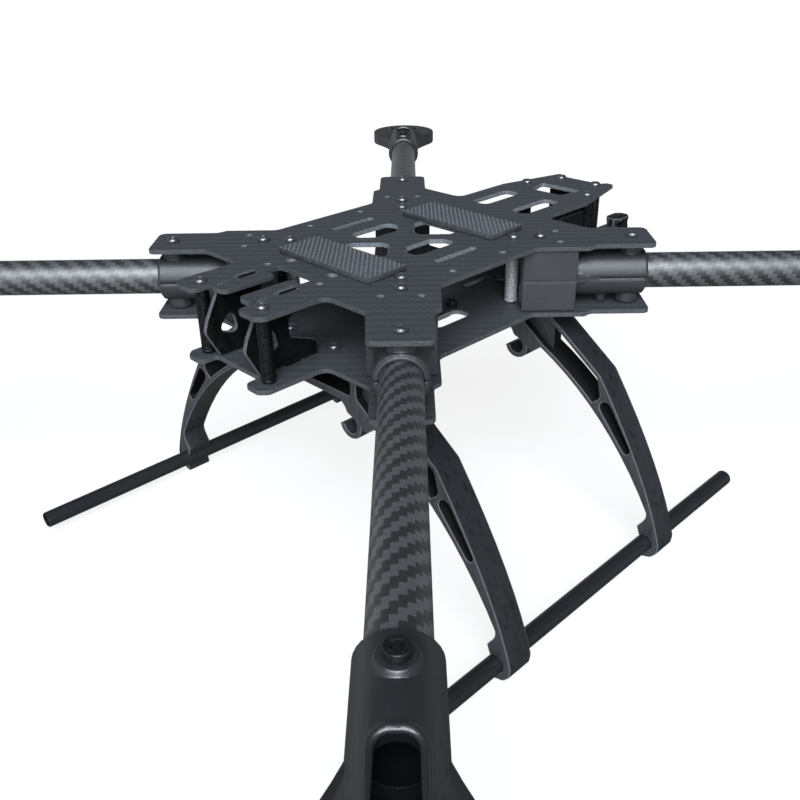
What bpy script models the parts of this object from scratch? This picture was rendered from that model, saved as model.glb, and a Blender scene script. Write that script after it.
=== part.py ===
"""Folding four-arm multirotor airframe: two carbon plates, four folding arms, landing legs and skids.

Metres, +Z up. The nose points to -Y and the part stands on its feet at Z = 0.
"""
import math

import bmesh
import bpy
from mathutils import Matrix, Vector

# Fits between pieces
GAP = 0.0003
HOLE_PLAY = 0.0003

# Plates
PLATE_THICKNESS = 0.002
PLATE_SPACING = 0.029
SIDE_HALF_WIDTH = 0.0525
SHOULDER_Y = 0.070
TIP_HALF_WIDTH = 0.0123
TIP_REACH = 0.1129
HIP_HALF_WIDTH = 0.0154
HIP_REACH = 0.0825
HIP_STEP = 0.0035
TIP_ROUND = 0.003
SHOULDER_ROUND = 0.004

# Nose of the plates
NOSE_HALF_WIDTH = 0.029
BELLY_NOSE_HALF_WIDTH = 0.0268
NOSE_CHAMFER = 0.0032
NOSE_Y = -0.102
NOSE_LOBE_Y = -0.094
NOSE_NOTCH_Y = -0.087
NOSE_THROAT_HALF_WIDTH = 0.0045
NOSE_BAY_Y = -0.0605
NOSE_BAY_DEPTH = 0.008
NOSE_BAY_HALF_WIDTH = 0.0115

# Tail of the plates
TAIL_Y = 0.1437
TAIL_HALF_WIDTH = 0.0275
TAIL_TAPER = 0.0385
TAIL_END_HALF_WIDTH = 0.0179
TAIL_DIP = 0.0035
TAIL_DIP_HALF_WIDTH = 0.0112
TAIL_DIP_LEAN = 0.0025

# Cut-outs in the plates
CROSS_INNER = 0.0103
CROSS_OUTER = 0.0218
CROSS_INNER_HALF = 0.0073
CROSS_OUTER_HALF = 0.0123
CROSS_OUTER_ROUND = 0.003
END_CROSS_INNER = 0.0104
END_CROSS_FLAT = 0.002
END_CROSS_HALF_WIDTH = 0.0115
END_CROSS_OUTER = 0.027
STRAP_SLOT_X = 0.033
STRAP_SLOT_LENGTH = 0.025
STRAP_SLOT_WIDTH = 0.003
TAIL_WINDOW_IN = 0.008
TAIL_WINDOW_OUT = 0.0175
TAIL_WINDOW_BACK = 0.0757
TAIL_WINDOW_LENGTH = 0.028
END_WINDOW_BACK = 0.0362
END_WINDOW_LENGTH = 0.0135
END_WINDOW_FRONT_HALF = 0.009
END_WINDOW_REAR_HALF = 0.0125
BELLY_WINDOW_X = 0.024
BELLY_WINDOW_WIDTH = 0.009
BELLY_WINDOW_LENGTH = 0.022
BELLY_SLOT_X = 0.007
BELLY_SLOT_START = 0.036
BELLY_SLOT_LENGTH = 0.018
BELLY_SLOT_WIDTH = 0.003
CUT_ROUND = 0.0015
WINDOW_ROUND = 0.003
SPARE_HOLE_RADIUS = 0.0013
SIDE_SPARE_HOLE = (0.0458, 0.016)
NOSE_SPARE_HOLE = (0.017, -0.063)
ARM_SPARE_HOLE = (0.0707, 0.0079)
ACCESS_HOLE = (0.0135, -0.0533)
ACCESS_HOLE_RADIUS = 0.002

# Arms: distances from the centre of the plates along an arm
ARM_ANGLE = 45.0
ARM_PIVOT = 0.0627
ARM_PILLAR = 0.0506
LOCK_BACK = 0.0089
TUBE_START = 0.068
TUBE_RADIUS = 0.008
TUBE_WALL = 0.001

# Arm holders
BLOCK_END = 0.0783
BLOCK_HALF_WIDTH = 0.014
FOLD_RELIEF_ANGLE = 117.0
BARREL_WALL = 0.0022
BARREL_BACK = 0.0019
BARREL_CHAMFER = 0.0016
WIRE_BORE_RADIUS = 0.006
LOCK_BOSS_RADIUS = 0.0055
LOCK_HOLE_DEPTH = 0.0035
GUSSET_LENGTH = 0.0095
GUSSET_THICKNESS = 0.0016

# Motor mounts: the distances back are measured from the motor's axis
MOTOR_REACH = 0.303
COLLAR_BACK = 0.0583
COLLAR_END_BACK = 0.0135
COLLAR_WALL = 0.0022
COLLAR_CHAMFER = 0.0009
FLANGE_RADIUS = 0.0225
FLANGE_THICKNESS = 0.008
FLARE_BACK = 0.0296
FLARE_HOLLOW = 0.0005
TUBE_BACK = 0.0315
MOTOR_SLOT_INNER = 0.0075
MOTOR_SLOT_OUTER = 0.0155
MOTOR_SLOT_WIDTH = 0.0034
WINDOW_BACK = 0.0305
WINDOW_END_BACK = 0.0155
WINDOW_WIDTH = 0.0092
WINDOW_CORNER = 0.0028
WINDOW_CAVITY_RADIUS = 0.0068
FLANGE_EYE = (0.013, 0.0025)
CLAMP_BACK = 0.0486
CLAMP_BOSS_RADIUS = 0.0049
CLAMP_BOSS_RISE = 0.0013

# Screws and pillars
SCREW_RADIUS = 0.0015
SCREW_HEAD_RADIUS = 0.00285
SCREW_HEAD_HEIGHT = 0.0017
CLAMP_HEAD_RADIUS = 0.0032
CLAMP_HEAD_HEIGHT = 0.002
NUT_RADIUS = 0.0032
NUT_HEIGHT = 0.0026
PILLAR_RADIUS = 0.003

# Nose and tail pieces between the plates
CHEEK_X = 0.0135
CHEEK_THICKNESS = 0.002
CHEEK_TAB_START = -0.0815
CHEEK_TAB_LENGTH = 0.009
CHEEK_TAB_RISE = 0.001
CHEEK_REAR_Y = -0.064
CHEEK_STEP_DROP = 0.018
CHEEK_CUT_DROP = 0.0076
CHEEK_CUT_DEPTH = 0.0081
CHEEK_WINDOW_ROUND = 0.0022
NOSE_PILLAR = (0.0205, -0.094)
SIDE_PILLAR_X = 0.0197
SIDE_PILLAR_BACK = 0.0272
END_PILLAR_X = 0.0112
END_PILLAR_BACK = 0.0075
TAIL_CHEEK_LENGTH = 0.020
TAIL_CHEEK_DROP = 0.005
TAIL_PANEL_BACK = 0.0147
TAIL_PANEL_HALF_WIDTH = 0.0125
BRACKET_BACK = 0.0167
BRACKET_REACH = 0.044
BRACKET_HALF_WIDTH = 0.0042
BRACKET_THICKNESS = 0.003
EYE_BLOCK_LENGTH = 0.0145
EYE_BLOCK_HALF_WIDTH = 0.005
EYE_BLOCK_HEIGHT = 0.0078
EYE_BLOCK_DROP = 0.0003
EYE_BLOCK_CHAMFER = 0.0032
EYE_RADIUS = 0.0025
EYE_SPACING = 0.0072

# Grip pads on the top plate
PAD_HALF_WIDTH = 0.0285
PAD_LENGTH = 0.0215
PAD_THICKNESS = 0.0027
PAD_X = 0.0037
FRONT_PAD_Y = -0.040
REAR_PAD_Y = 0.0355

# Landing legs, in the plane of a leg: distance out from the centre line, and height or drop
LEG_HEIGHT = 0.1129
LEG_Y = 0.0553
LEG_WIDTH = 0.0135
LEG_INNER_X = 0.001
LEG_SHOULDER_X = 0.043
LEG_KNEE_X = 0.080
LEG_KNEE_DROP = 0.0267
LEG_CHORD = 0.0036
LEG_SHELL = 0.0022
LEG_BEAM_DEPTH = 0.0162
LEG_RIB_X = 0.033
LEG_RIB = 0.0036
LEG_WEB_X = 0.050
LEG_WEB = 0.006
LEG_SCREW_X = 0.0145
RAIL_RADIUS = 0.004
RAIL_X = 0.0305
RAIL_DROP = 0.0262
HOOK_WALL = 0.0025
SKID_X = 0.113
SKID_RADIUS = 0.004
SKID_WALL = 0.001
SKID_START = -0.145
SKID_END = 0.128
FOOT_WALL = 0.0036

# Facets of round shapes
ROUND_SIDES = 24
SMALL_SIDES = 12
HOLE_SIDES = 8
ARC_STEP = math.radians(30.0)
RIM_STEP = math.radians(15.0)

# Places worked out from the sizes above
ARM_LOCK = TIP_REACH - LOCK_BACK
BARREL_END = TIP_REACH - BARREL_BACK
COLLAR_START = MOTOR_REACH - COLLAR_BACK
COLLAR_END = MOTOR_REACH - COLLAR_END_BACK
FLARE_START = MOTOR_REACH - FLARE_BACK
TUBE_END = MOTOR_REACH - TUBE_BACK
WINDOW_START = MOTOR_REACH - WINDOW_BACK
WINDOW_END = MOTOR_REACH - WINDOW_END_BACK
CLAMP_SCREW = MOTOR_REACH - CLAMP_BACK
TAIL_WINDOW_START = TAIL_Y - TAIL_WINDOW_BACK
END_WINDOW_START = TAIL_Y - END_WINDOW_BACK
SIDE_PILLAR = (SIDE_PILLAR_X, TAIL_Y - SIDE_PILLAR_BACK)
END_PILLAR = (END_PILLAR_X, TAIL_Y - END_PILLAR_BACK)
TAIL_PANEL_Y = TAIL_Y - TAIL_PANEL_BACK
BRACKET_START = TAIL_Y - BRACKET_BACK
BRACKET_END = TAIL_Y + BRACKET_REACH
BOTTOM_TOP = LEG_HEIGHT + PLATE_THICKNESS
TOP_UNDERSIDE = BOTTOM_TOP + PLATE_SPACING
TOP_TOP = TOP_UNDERSIDE + PLATE_THICKNESS
TUBE_Z = BOTTOM_TOP + PLATE_SPACING / 2
HALF_BLOCK = PLATE_SPACING / 2 - GAP
BARREL_RADIUS = TUBE_RADIUS + GAP / 2 + BARREL_WALL
COLLAR_RADIUS = TUBE_RADIUS + GAP / 2 + COLLAR_WALL
SEAT_RADIUS = TUBE_RADIUS + GAP / 2

ARMS = {
    "front_right": (-ARM_ANGLE, -1),
    "rear_right": (ARM_ANGLE, 1),
    "rear_left": (180.0 - ARM_ANGLE, -1),
    "front_left": (180.0 + ARM_ANGLE, 1),
}


def new_collection(name):
    collection = bpy.data.collections.new(name)
    bpy.context.scene.collection.children.link(collection)
    return collection


def material(name, colour, roughness, metallic=0.0):
    made = bpy.data.materials.new(name)
    made.use_nodes = True
    shader = made.node_tree.nodes["Principled BSDF"]
    shader.inputs["Base Color"].default_value = (*colour, 1.0)
    shader.inputs["Roughness"].default_value = roughness
    shader.inputs["Metallic"].default_value = metallic
    made.diffuse_color = (*colour, 1.0)
    return made


# Outlines

def arc(centre, radius, start, end, stride=ARC_STEP):
    """Points on an arc between two angles in degrees, both ends included."""
    first, last = math.radians(start), math.radians(end)
    steps = max(2, round(abs(last - first) / stride))
    angles = [first + (last - first) * step / steps for step in range(steps + 1)]
    return [(centre[0] + radius * math.cos(a), centre[1] + radius * math.sin(a)) for a in angles]


def bezier(start, control, end, steps):
    points = []
    for step in range(steps + 1):
        t = step / steps
        weights = ((1 - t) ** 2, 2 * t * (1 - t), t ** 2)
        points.append(tuple(sum(w * p[axis] for w, p in zip(weights, (start, control, end)))
                            for axis in (0, 1)))
    return points


def rounded(corners):
    """A closed outline from corners (x, y, radius), each rounded by an arc that fits its edges."""
    outline = []
    for index, (x, y, radius) in enumerate(corners):
        corner = Vector((x, y))
        if not radius:
            outline.append((x, y))
            continue
        before = Vector(corners[index - 1][:2]) - corner
        after = Vector(corners[(index + 1) % len(corners)][:2]) - corner
        half = before.angle(after) / 2
        reach = min(radius / math.tan(half), 0.45 * before.length, 0.45 * after.length)
        middle = corner + (before.normalized() + after.normalized()).normalized() * reach / math.cos(half)
        first = corner + before.normalized() * reach - middle
        turn = first.angle_signed(corner + after.normalized() * reach - middle)
        steps = max(1, round(abs(turn) / ARC_STEP))
        for step in range(steps + 1):
            angle = -turn * step / steps
            outline.append(tuple(middle + Matrix.Rotation(angle, 2) @ first))
    return outline


def hole(x, y, radius):
    """A round hole with few facets."""
    angles = [2 * math.pi * side / HOLE_SIDES for side in range(HOLE_SIDES)]
    return [(x + radius * math.cos(a), y + radius * math.sin(a)) for a in angles]


def slot(x, y, half_length, half_width, radius):
    """A rounded rectangle about a point, long in Y."""
    return rounded([(x + sx * half_width, y + sy * half_length, radius)
                    for sx, sy in ((-1, -1), (1, -1), (1, 1), (-1, 1))])


def mirrored(half):
    """The right half of a closed outline, nose to tail, completed by its mirror image."""
    return half + [(-x, *rest) for x, *rest in reversed(half) if x > 0]


# Solids

def finish(name, shape):
    """A workshop object holding a bmesh's shape."""
    bmesh.ops.recalc_face_normals(shape, faces=shape.faces)
    mesh = bpy.data.meshes.new(name)
    shape.to_mesh(mesh)
    shape.free()
    item = bpy.data.objects.new(name, mesh)
    item.hide_render = True
    item.display_type = "WIRE"
    WORKSHOP.objects.link(item)
    return item


def evaluated_mesh(item):
    """The mesh of an object with its modifiers, which is removed; loose caps are welded."""
    bpy.context.view_layer.update()
    depsgraph = bpy.context.evaluated_depsgraph_get()
    mesh = bpy.data.meshes.new_from_object(item.evaluated_get(depsgraph))
    bpy.data.objects.remove(item, do_unlink=True)
    return mesh


def welded(name, mesh, placing=Matrix.Identity(4)):
    shape = bmesh.new()
    shape.from_mesh(mesh)
    bpy.data.meshes.remove(mesh)
    bmesh.ops.remove_doubles(shape, verts=shape.verts, dist=0.000001)
    bmesh.ops.dissolve_degenerate(shape, dist=0.0000001, edges=shape.edges)
    bmesh.ops.transform(shape, matrix=placing, verts=shape.verts)
    return finish(name, shape)


def slab(name, outlines, bottom, top):
    """A flat outline, with its holes, between two heights."""
    curve = bpy.data.curves.new(name, "CURVE")
    curve.dimensions = "2D"
    curve.fill_mode = "BOTH"
    curve.extrude = (top - bottom) / 2
    for points in outlines:
        spline = curve.splines.new("POLY")
        spline.points.add(len(points) - 1)
        spline.use_cyclic_u = True
        for point, (x, y) in zip(spline.points, points):
            point.co = (x, y, 0, 1)
    item = bpy.data.objects.new(name, curve)
    WORKSHOP.objects.link(item)
    return welded(name, evaluated_mesh(item), Matrix.Translation((0, 0, (bottom + top) / 2)))


def cylinder(name, radius, start, end, sides=ROUND_SIDES):
    start, end = Vector(start), Vector(end)
    axis = end - start
    turn = axis.to_track_quat("Z", "Y").to_matrix().to_4x4()
    shape = bmesh.new()
    bmesh.ops.create_cone(shape, cap_ends=True, segments=sides, radius1=radius, radius2=radius,
                          depth=axis.length)
    bmesh.ops.transform(shape, matrix=Matrix.Translation((start + end) / 2) @ turn, verts=shape.verts)
    return finish(name, shape)


def box(name, low, high):
    low, high = Vector(low), Vector(high)
    shape = bmesh.new()
    bmesh.ops.create_cube(shape, size=1.0)
    placing = Matrix.Translation((low + high) / 2) @ Matrix.Diagonal((*(high - low), 1.0))
    bmesh.ops.transform(shape, matrix=placing, verts=shape.verts)
    return finish(name, shape)


def turned(name, profile, sides, closed=False, along_x=False):
    """A profile (radius, height) turned about Z, or about X; a closed one makes a ring or a tube."""
    mesh = bpy.data.meshes.new(name)
    count = len(profile)
    edges = [(index, (index + 1) % count) for index in range(count if closed else count - 1)]
    mesh.from_pydata([(radius, 0, height) for radius, height in profile], edges, [])
    item = bpy.data.objects.new(name, mesh)
    WORKSHOP.objects.link(item)
    screw = item.modifiers.new("turn", "SCREW")
    screw.steps = sides
    screw.render_steps = sides
    screw.use_merge_vertices = True
    screw.merge_threshold = 0.00001
    turn = Matrix.Rotation(math.radians(90), 4, "Y") if along_x else Matrix.Identity(4)
    return welded(name, evaluated_mesh(item), turn)


def combine(base, others, operation):
    """The base with the other objects joined to it or cut from it."""
    name = base.name
    for other in others:
        step = base.modifiers.new(other.name, "BOOLEAN")
        step.operation = operation
        step.solver = "EXACT"
        step.object = other
    mesh = evaluated_mesh(base)
    for other in others:
        bpy.data.objects.remove(other, do_unlink=True)
    return welded(name, mesh)


def joined(base, *others):
    return combine(base, others, "UNION")


def cut(base, *others):
    return combine(base, others, "DIFFERENCE")


def shape_of(item):
    """Take the mesh out of a workshop object, shaded for round surfaces."""
    mesh = item.data
    bpy.data.objects.remove(item, do_unlink=True)
    mesh.shade_smooth()
    mesh.set_sharp_from_angle(angle=math.radians(35.0))
    return mesh


def place(name, mesh, finish_material, location=(0, 0, 0), rotation=(0, 0, 0), parent=None):
    """Add a piece; copies share the shape and its material."""
    item = bpy.data.objects.new(name, mesh)
    if not mesh.materials:
        mesh.materials.append(finish_material)
    item.location = location
    item.rotation_euler = rotation
    item.parent = parent
    PARTS.objects.link(item)
    return item


# Plates

def arm_direction(name):
    angle = math.radians(ARMS[name][0])
    return Vector((math.cos(angle), math.sin(angle)))


def plate_half(nose, nose_half_width):
    """The right half of a plate's outline, from the nose corners given to the middle of the tail."""
    sine, cosine = math.sin(math.radians(ARM_ANGLE)), math.cos(math.radians(ARM_ANGLE))
    arm = [
        ((SIDE_HALF_WIDTH - HIP_HALF_WIDTH * sine) / cosine, -HIP_HALF_WIDTH, SHOULDER_ROUND),
        (HIP_REACH, -HIP_HALF_WIDTH, 0),
        (HIP_REACH + HIP_STEP, -TIP_HALF_WIDTH, 0),
        (TIP_REACH, -TIP_HALF_WIDTH, TIP_ROUND),
        (TIP_REACH, TIP_HALF_WIDTH, TIP_ROUND),
        ((SHOULDER_Y - TIP_HALF_WIDTH * cosine) / sine, TIP_HALF_WIDTH, SHOULDER_ROUND),
    ]
    rear = [(u * cosine - v * sine, u * sine + v * cosine, r) for u, v, r in arm]
    front = [(x, -y, r) for x, y, r in reversed(rear)]
    lobe = [
        (CHEEK_X + CHEEK_THICKNESS / 2 + GAP, NOSE_Y, TIP_ROUND),
        (nose_half_width - NOSE_CHAMFER, NOSE_Y, CUT_ROUND),
        (nose_half_width, NOSE_Y + NOSE_CHAMFER, CUT_ROUND),
        (nose_half_width, -SHOULDER_Y, SHOULDER_ROUND),
    ]
    tail = [
        (TAIL_HALF_WIDTH, SHOULDER_Y, SHOULDER_ROUND),
        (TAIL_HALF_WIDTH, TAIL_Y - TAIL_TAPER, TIP_ROUND),
        (TAIL_END_HALF_WIDTH, TAIL_Y, CUT_ROUND),
        (TAIL_DIP_HALF_WIDTH + TAIL_DIP_LEAN, TAIL_Y, 0),
        (TAIL_DIP_HALF_WIDTH, TAIL_Y - TAIL_DIP, 0),
        (0, TAIL_Y - TAIL_DIP, 0),
    ]
    return nose + lobe + front + rear + tail


def shared_holes():
    """Screw holes and cheek tab slots that both plates have."""
    radius = SCREW_RADIUS + HOLE_PLAY
    outlines = []
    for name in ARMS:
        for along in (ARM_PIVOT, ARM_PILLAR, ARM_LOCK):
            outlines.append(hole(*(arm_direction(name) * along), radius))
    for side in (-1, 1):
        for x, y in (NOSE_PILLAR, SIDE_PILLAR, END_PILLAR):
            outlines.append(hole(side * x, y, radius))
        outlines.append(slot(side * CHEEK_X, CHEEK_TAB_START + CHEEK_TAB_LENGTH / 2,
                             CHEEK_TAB_LENGTH / 2 + GAP, CHEEK_THICKNESS / 2 + GAP, 0))
    return outlines


def top_plate():
    notch = CHEEK_X - CHEEK_THICKNESS / 2 - GAP
    bay_front = NOSE_BAY_Y - NOSE_BAY_DEPTH
    nose = [
        (0, NOSE_BAY_Y, 0),
        (NOSE_BAY_HALF_WIDTH, NOSE_BAY_Y, CUT_ROUND),
        (NOSE_BAY_HALF_WIDTH, bay_front, CUT_ROUND),
        (NOSE_THROAT_HALF_WIDTH, bay_front, CUT_ROUND),
        (NOSE_THROAT_HALF_WIDTH, NOSE_LOBE_Y, TIP_ROUND),
        (notch, NOSE_LOBE_Y, 0),
        (notch, NOSE_NOTCH_Y, 0),
        (notch + CHEEK_THICKNESS + 2 * GAP, NOSE_NOTCH_Y, 0),
    ]
    outlines = [rounded(mirrored(plate_half(nose, NOSE_HALF_WIDTH)))] + shared_holes()
    shoulder = END_CROSS_INNER + END_CROSS_HALF_WIDTH - END_CROSS_FLAT
    elbow = CROSS_INNER + CROSS_OUTER_HALF - CROSS_INNER_HALF
    for side in (-1, 1):
        outlines.append(rounded([
            (side * CROSS_INNER, -CROSS_INNER_HALF, CUT_ROUND),
            (side * elbow, -CROSS_OUTER_HALF, CUT_ROUND),
            (side * CROSS_OUTER, -CROSS_OUTER_HALF, CROSS_OUTER_ROUND),
            (side * CROSS_OUTER, CROSS_OUTER_HALF, CROSS_OUTER_ROUND),
            (side * elbow, CROSS_OUTER_HALF, CUT_ROUND),
            (side * CROSS_INNER, CROSS_INNER_HALF, CUT_ROUND)]))
        outlines.append(rounded(mirrored([
            (END_CROSS_FLAT, side * END_CROSS_INNER, CUT_ROUND),
            (END_CROSS_HALF_WIDTH, side * shoulder, CUT_ROUND),
            (END_CROSS_HALF_WIDTH, side * END_CROSS_OUTER, CUT_ROUND)])))
        outlines.append(slot(side * STRAP_SLOT_X, 0, STRAP_SLOT_LENGTH / 2, STRAP_SLOT_WIDTH / 2,
                             STRAP_SLOT_WIDTH / 2))
        outlines.append(slot(side * (TAIL_WINDOW_IN + TAIL_WINDOW_OUT) / 2,
                             TAIL_WINDOW_START + TAIL_WINDOW_LENGTH / 2, TAIL_WINDOW_LENGTH / 2,
                             (TAIL_WINDOW_OUT - TAIL_WINDOW_IN) / 2, WINDOW_ROUND))
        outlines.append(hole(side * ACCESS_HOLE[0], ACCESS_HOLE[1], ACCESS_HOLE_RADIUS))
        outlines.append(hole(side * NOSE_SPARE_HOLE[0], NOSE_SPARE_HOLE[1], SPARE_HOLE_RADIUS))
        for end in (-1, 1):
            outlines.append(hole(side * SIDE_SPARE_HOLE[0], end * SIDE_SPARE_HOLE[1], SPARE_HOLE_RADIUS))
    for name in ARMS:
        along = arm_direction(name)
        across = Vector((-along.y, along.x))
        for side in (-1, 1):
            spot = along * ARM_SPARE_HOLE[0] + across * side * ARM_SPARE_HOLE[1]
            outlines.append(hole(*spot, SPARE_HOLE_RADIUS))
    outlines.append(rounded(mirrored([
        (END_WINDOW_FRONT_HALF, END_WINDOW_START, CUT_ROUND),
        (END_WINDOW_REAR_HALF, END_WINDOW_START + END_WINDOW_LENGTH, CUT_ROUND)])))
    return slab("top_plate", outlines, TOP_UNDERSIDE, TOP_TOP)


def bottom_plate():
    step = CHEEK_X + CHEEK_THICKNESS / 2 + GAP
    nose = [(0, NOSE_LOBE_Y, 0), (step, NOSE_LOBE_Y, CUT_ROUND)]
    outlines = [rounded(mirrored(plate_half(nose, BELLY_NOSE_HALF_WIDTH)))] + shared_holes()
    for side in (-1, 1):
        outlines.append(slot(side * (BELLY_WINDOW_X + BELLY_WINDOW_WIDTH / 2), 0, BELLY_WINDOW_LENGTH / 2,
                             BELLY_WINDOW_WIDTH / 2, WINDOW_ROUND))
        outlines.append(slot(side * BELLY_SLOT_X, BELLY_SLOT_START + BELLY_SLOT_LENGTH / 2,
                             BELLY_SLOT_LENGTH / 2, BELLY_SLOT_WIDTH / 2, BELLY_SLOT_WIDTH / 2))
        for end in (-1, 1):
            outlines.append(hole(side * LEG_SCREW_X, end * LEG_Y, SCREW_RADIUS + HOLE_PLAY))
    return slab("bottom_plate", outlines, LEG_HEIGHT, BOTTOM_TOP)


# Arms: built along X from the pivot, with the tube's axis at height 0

def from_pivot(distance):
    return distance - ARM_PIVOT


def holder_half(side):
    """The upper half of an arm holder whose fold corner is cleared on one side."""
    start = from_pivot(ARM_PILLAR + PILLAR_RADIUS + GAP)
    end = from_pivot(BLOCK_END)
    relief = [(x, side * y) for x, y in arc((0, 0), -start, 180, FOLD_RELIEF_ANGLE)]
    slope = math.tan(math.radians(FOLD_RELIEF_ANGLE))
    plan = relief + [
        (BLOCK_HALF_WIDTH / slope, side * BLOCK_HALF_WIDTH),
        (end, side * BLOCK_HALF_WIDTH),
        (end, -side * BLOCK_HALF_WIDTH),
        (start, -side * BLOCK_HALF_WIDTH)]
    lock = from_pivot(ARM_LOCK)
    tip = from_pivot(BARREL_END)
    fin = end + GUSSET_LENGTH
    inside = end - 0.002
    block = slab("holder", [plan], GAP / 2, HALF_BLOCK)
    barrel = turned("barrel", [
        (0, inside), (BARREL_RADIUS, inside), (BARREL_RADIUS, tip - BARREL_CHAMFER),
        (BARREL_RADIUS - BARREL_CHAMFER / 2, tip), (0, tip)], ROUND_SIDES, along_x=True)
    gusset = slab("gusset", [[
        (inside, BLOCK_HALF_WIDTH - 0.001), (fin, BARREL_RADIUS - 0.0008),
        (fin, 0.0008 - BARREL_RADIUS), (inside, 0.001 - BLOCK_HALF_WIDTH)]],
        GAP / 2, GAP / 2 + GUSSET_THICKNESS)
    boss = cylinder("boss", LOCK_BOSS_RADIUS, (lock, 0, 0.002), (lock, 0, HALF_BLOCK), SMALL_SIDES)
    body = joined(block, barrel, gusset, boss)
    seat = from_pivot(TUBE_START) - GAP
    return cut(
        body,
        cylinder("seat", SEAT_RADIUS, (seat, 0, 0), (tip + 0.01, 0, 0)),
        cylinder("wires", WIRE_BORE_RADIUS, (start - 0.01, 0, 0), (seat + 0.001, 0, 0)),
        cylinder("pivot", SCREW_RADIUS + HOLE_PLAY, (0, 0, -0.01), (0, 0, 0.05), SMALL_SIDES),
        cylinder("lock", SCREW_RADIUS, (lock, 0, HALF_BLOCK - LOCK_HOLE_DEPTH), (lock, 0, 0.05),
                 SMALL_SIDES),
        box("below", (start - 0.01, -0.05, -0.05), (tip + 0.01, 0.05, GAP / 2)))


def arm_tube():
    start, end = from_pivot(TUBE_START), from_pivot(TUBE_END)
    inner = TUBE_RADIUS - TUBE_WALL
    return turned("arm_tube", [
        (TUBE_RADIUS, start), (TUBE_RADIUS, end), (inner, end), (inner, start)],
        ROUND_SIDES, closed=True, along_x=True)


def flange_plan(centre):
    """The fan-shaped motor flange: a disc and the two hollow flares that meet the collar."""
    root = Vector((from_pivot(FLARE_START) - centre, COLLAR_RADIUS - 0.0004))
    tangent = math.degrees(math.atan2(root.y, root.x) - math.acos(FLANGE_RADIUS / root.length))
    rim = arc((0, 0), FLANGE_RADIUS, tangent, -tangent, RIM_STEP)
    meeting = Vector(rim[0])
    along = (meeting - root).normalized()
    control = (root + meeting) / 2 + Vector((along.y, -along.x)) * 2 * FLARE_HOLLOW
    flare = bezier(root, control, meeting, 4)
    plan = flare + rim[1:-1] + [(x, -y) for x, y in reversed(flare)]
    return [(x + centre, y) for x, y in plan]


def motor_slot(centre, angle):
    """A slot running out from the motor's axis."""
    out = Matrix.Rotation(math.radians(angle), 2)
    half = MOTOR_SLOT_WIDTH / 2
    points = arc((MOTOR_SLOT_OUTER, 0), half, -90, 90) + arc((MOTOR_SLOT_INNER, 0), half, 90, 270)
    return [tuple(out @ Vector(point) + Vector((centre, 0))) for point in points]


def motor_mount():
    centre = from_pivot(MOTOR_REACH)
    start, end = from_pivot(COLLAR_START), from_pivot(COLLAR_END)
    screw = from_pivot(CLAMP_SCREW)
    top = COLLAR_RADIUS + CLAMP_BOSS_RISE
    slots = [motor_slot(centre, angle) for angle in (45, 135, 225, 315)]
    eyes = [hole(centre + FLANGE_EYE[0], side * FLANGE_EYE[1], SPARE_HOLE_RADIUS) for side in (-1, 1)]
    flange = slab("motor_mount", [flange_plan(centre)] + slots + eyes,
                  -FLANGE_THICKNESS / 2, FLANGE_THICKNESS / 2)
    collar = turned("collar", [
        (0, start), (COLLAR_RADIUS - COLLAR_CHAMFER, start), (COLLAR_RADIUS, start + COLLAR_CHAMFER),
        (COLLAR_RADIUS, end - COLLAR_CHAMFER), (COLLAR_RADIUS - COLLAR_CHAMFER, end), (0, end)],
        ROUND_SIDES, along_x=True)
    boss = cylinder("boss", CLAMP_BOSS_RADIUS, (screw, 0, 0.002), (screw, 0, top), SMALL_SIDES)
    body = joined(flange, collar, boss)
    seat = from_pivot(TUBE_END) + GAP
    window_start, window_end = from_pivot(WINDOW_START), from_pivot(WINDOW_END)
    half = WINDOW_WIDTH / 2
    window = slab("window", [rounded([
        (window_start, half, WINDOW_CORNER), (window_start, -half, WINDOW_CORNER),
        (window_end, -half, 0), (window_end, half, 0)])], 0, COLLAR_RADIUS + 0.01)
    return cut(
        body,
        cylinder("seat", SEAT_RADIUS, (start - 0.01, 0, 0), (seat, 0, 0)),
        cylinder("cavity", WINDOW_CAVITY_RADIUS, (seat - 0.001, 0, 0), (window_end - 0.001, 0, 0)),
        cylinder("screw", SCREW_RADIUS + HOLE_PLAY, (screw, 0, 0.001), (screw, 0, 0.05), SMALL_SIDES),
        window)


def screw_profile(head_radius, head_height, bottom, seat):
    """A round-headed screw from the end of its shank up over its head, which sits at one height."""
    crown = seat + head_height
    return [
        (0, bottom), (SCREW_RADIUS, bottom), (SCREW_RADIUS, seat), (head_radius, seat),
        (head_radius, seat + 0.35 * head_height), (0.85 * head_radius, seat + 0.75 * head_height),
        (0.5 * head_radius, crown), (0, crown)]


def pivot_bolt():
    """A bolt through both plates and the arm holder, with its nut below."""
    below = LEG_HEIGHT - GAP
    profile = screw_profile(SCREW_HEAD_RADIUS, SCREW_HEAD_HEIGHT, below, TOP_TOP + GAP)
    nut = [(0, below - NUT_HEIGHT), (NUT_RADIUS, below - NUT_HEIGHT), (NUT_RADIUS, below)]
    return turned("pivot_bolt", nut + profile[1:], SMALL_SIDES)


def lock_screw():
    """The screw that locks an arm, drawn back out of the holder so that the arm can be folded."""
    return turned("lock_screw", screw_profile(
        SCREW_HEAD_RADIUS, SCREW_HEAD_HEIGHT, TOP_UNDERSIDE + GAP, TOP_TOP + GAP), SMALL_SIDES)


def clamp_screw():
    return turned("clamp_screw", screw_profile(
        CLAMP_HEAD_RADIUS, CLAMP_HEAD_HEIGHT, TUBE_RADIUS + GAP,
        COLLAR_RADIUS + CLAMP_BOSS_RISE + GAP), SMALL_SIDES)


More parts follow.
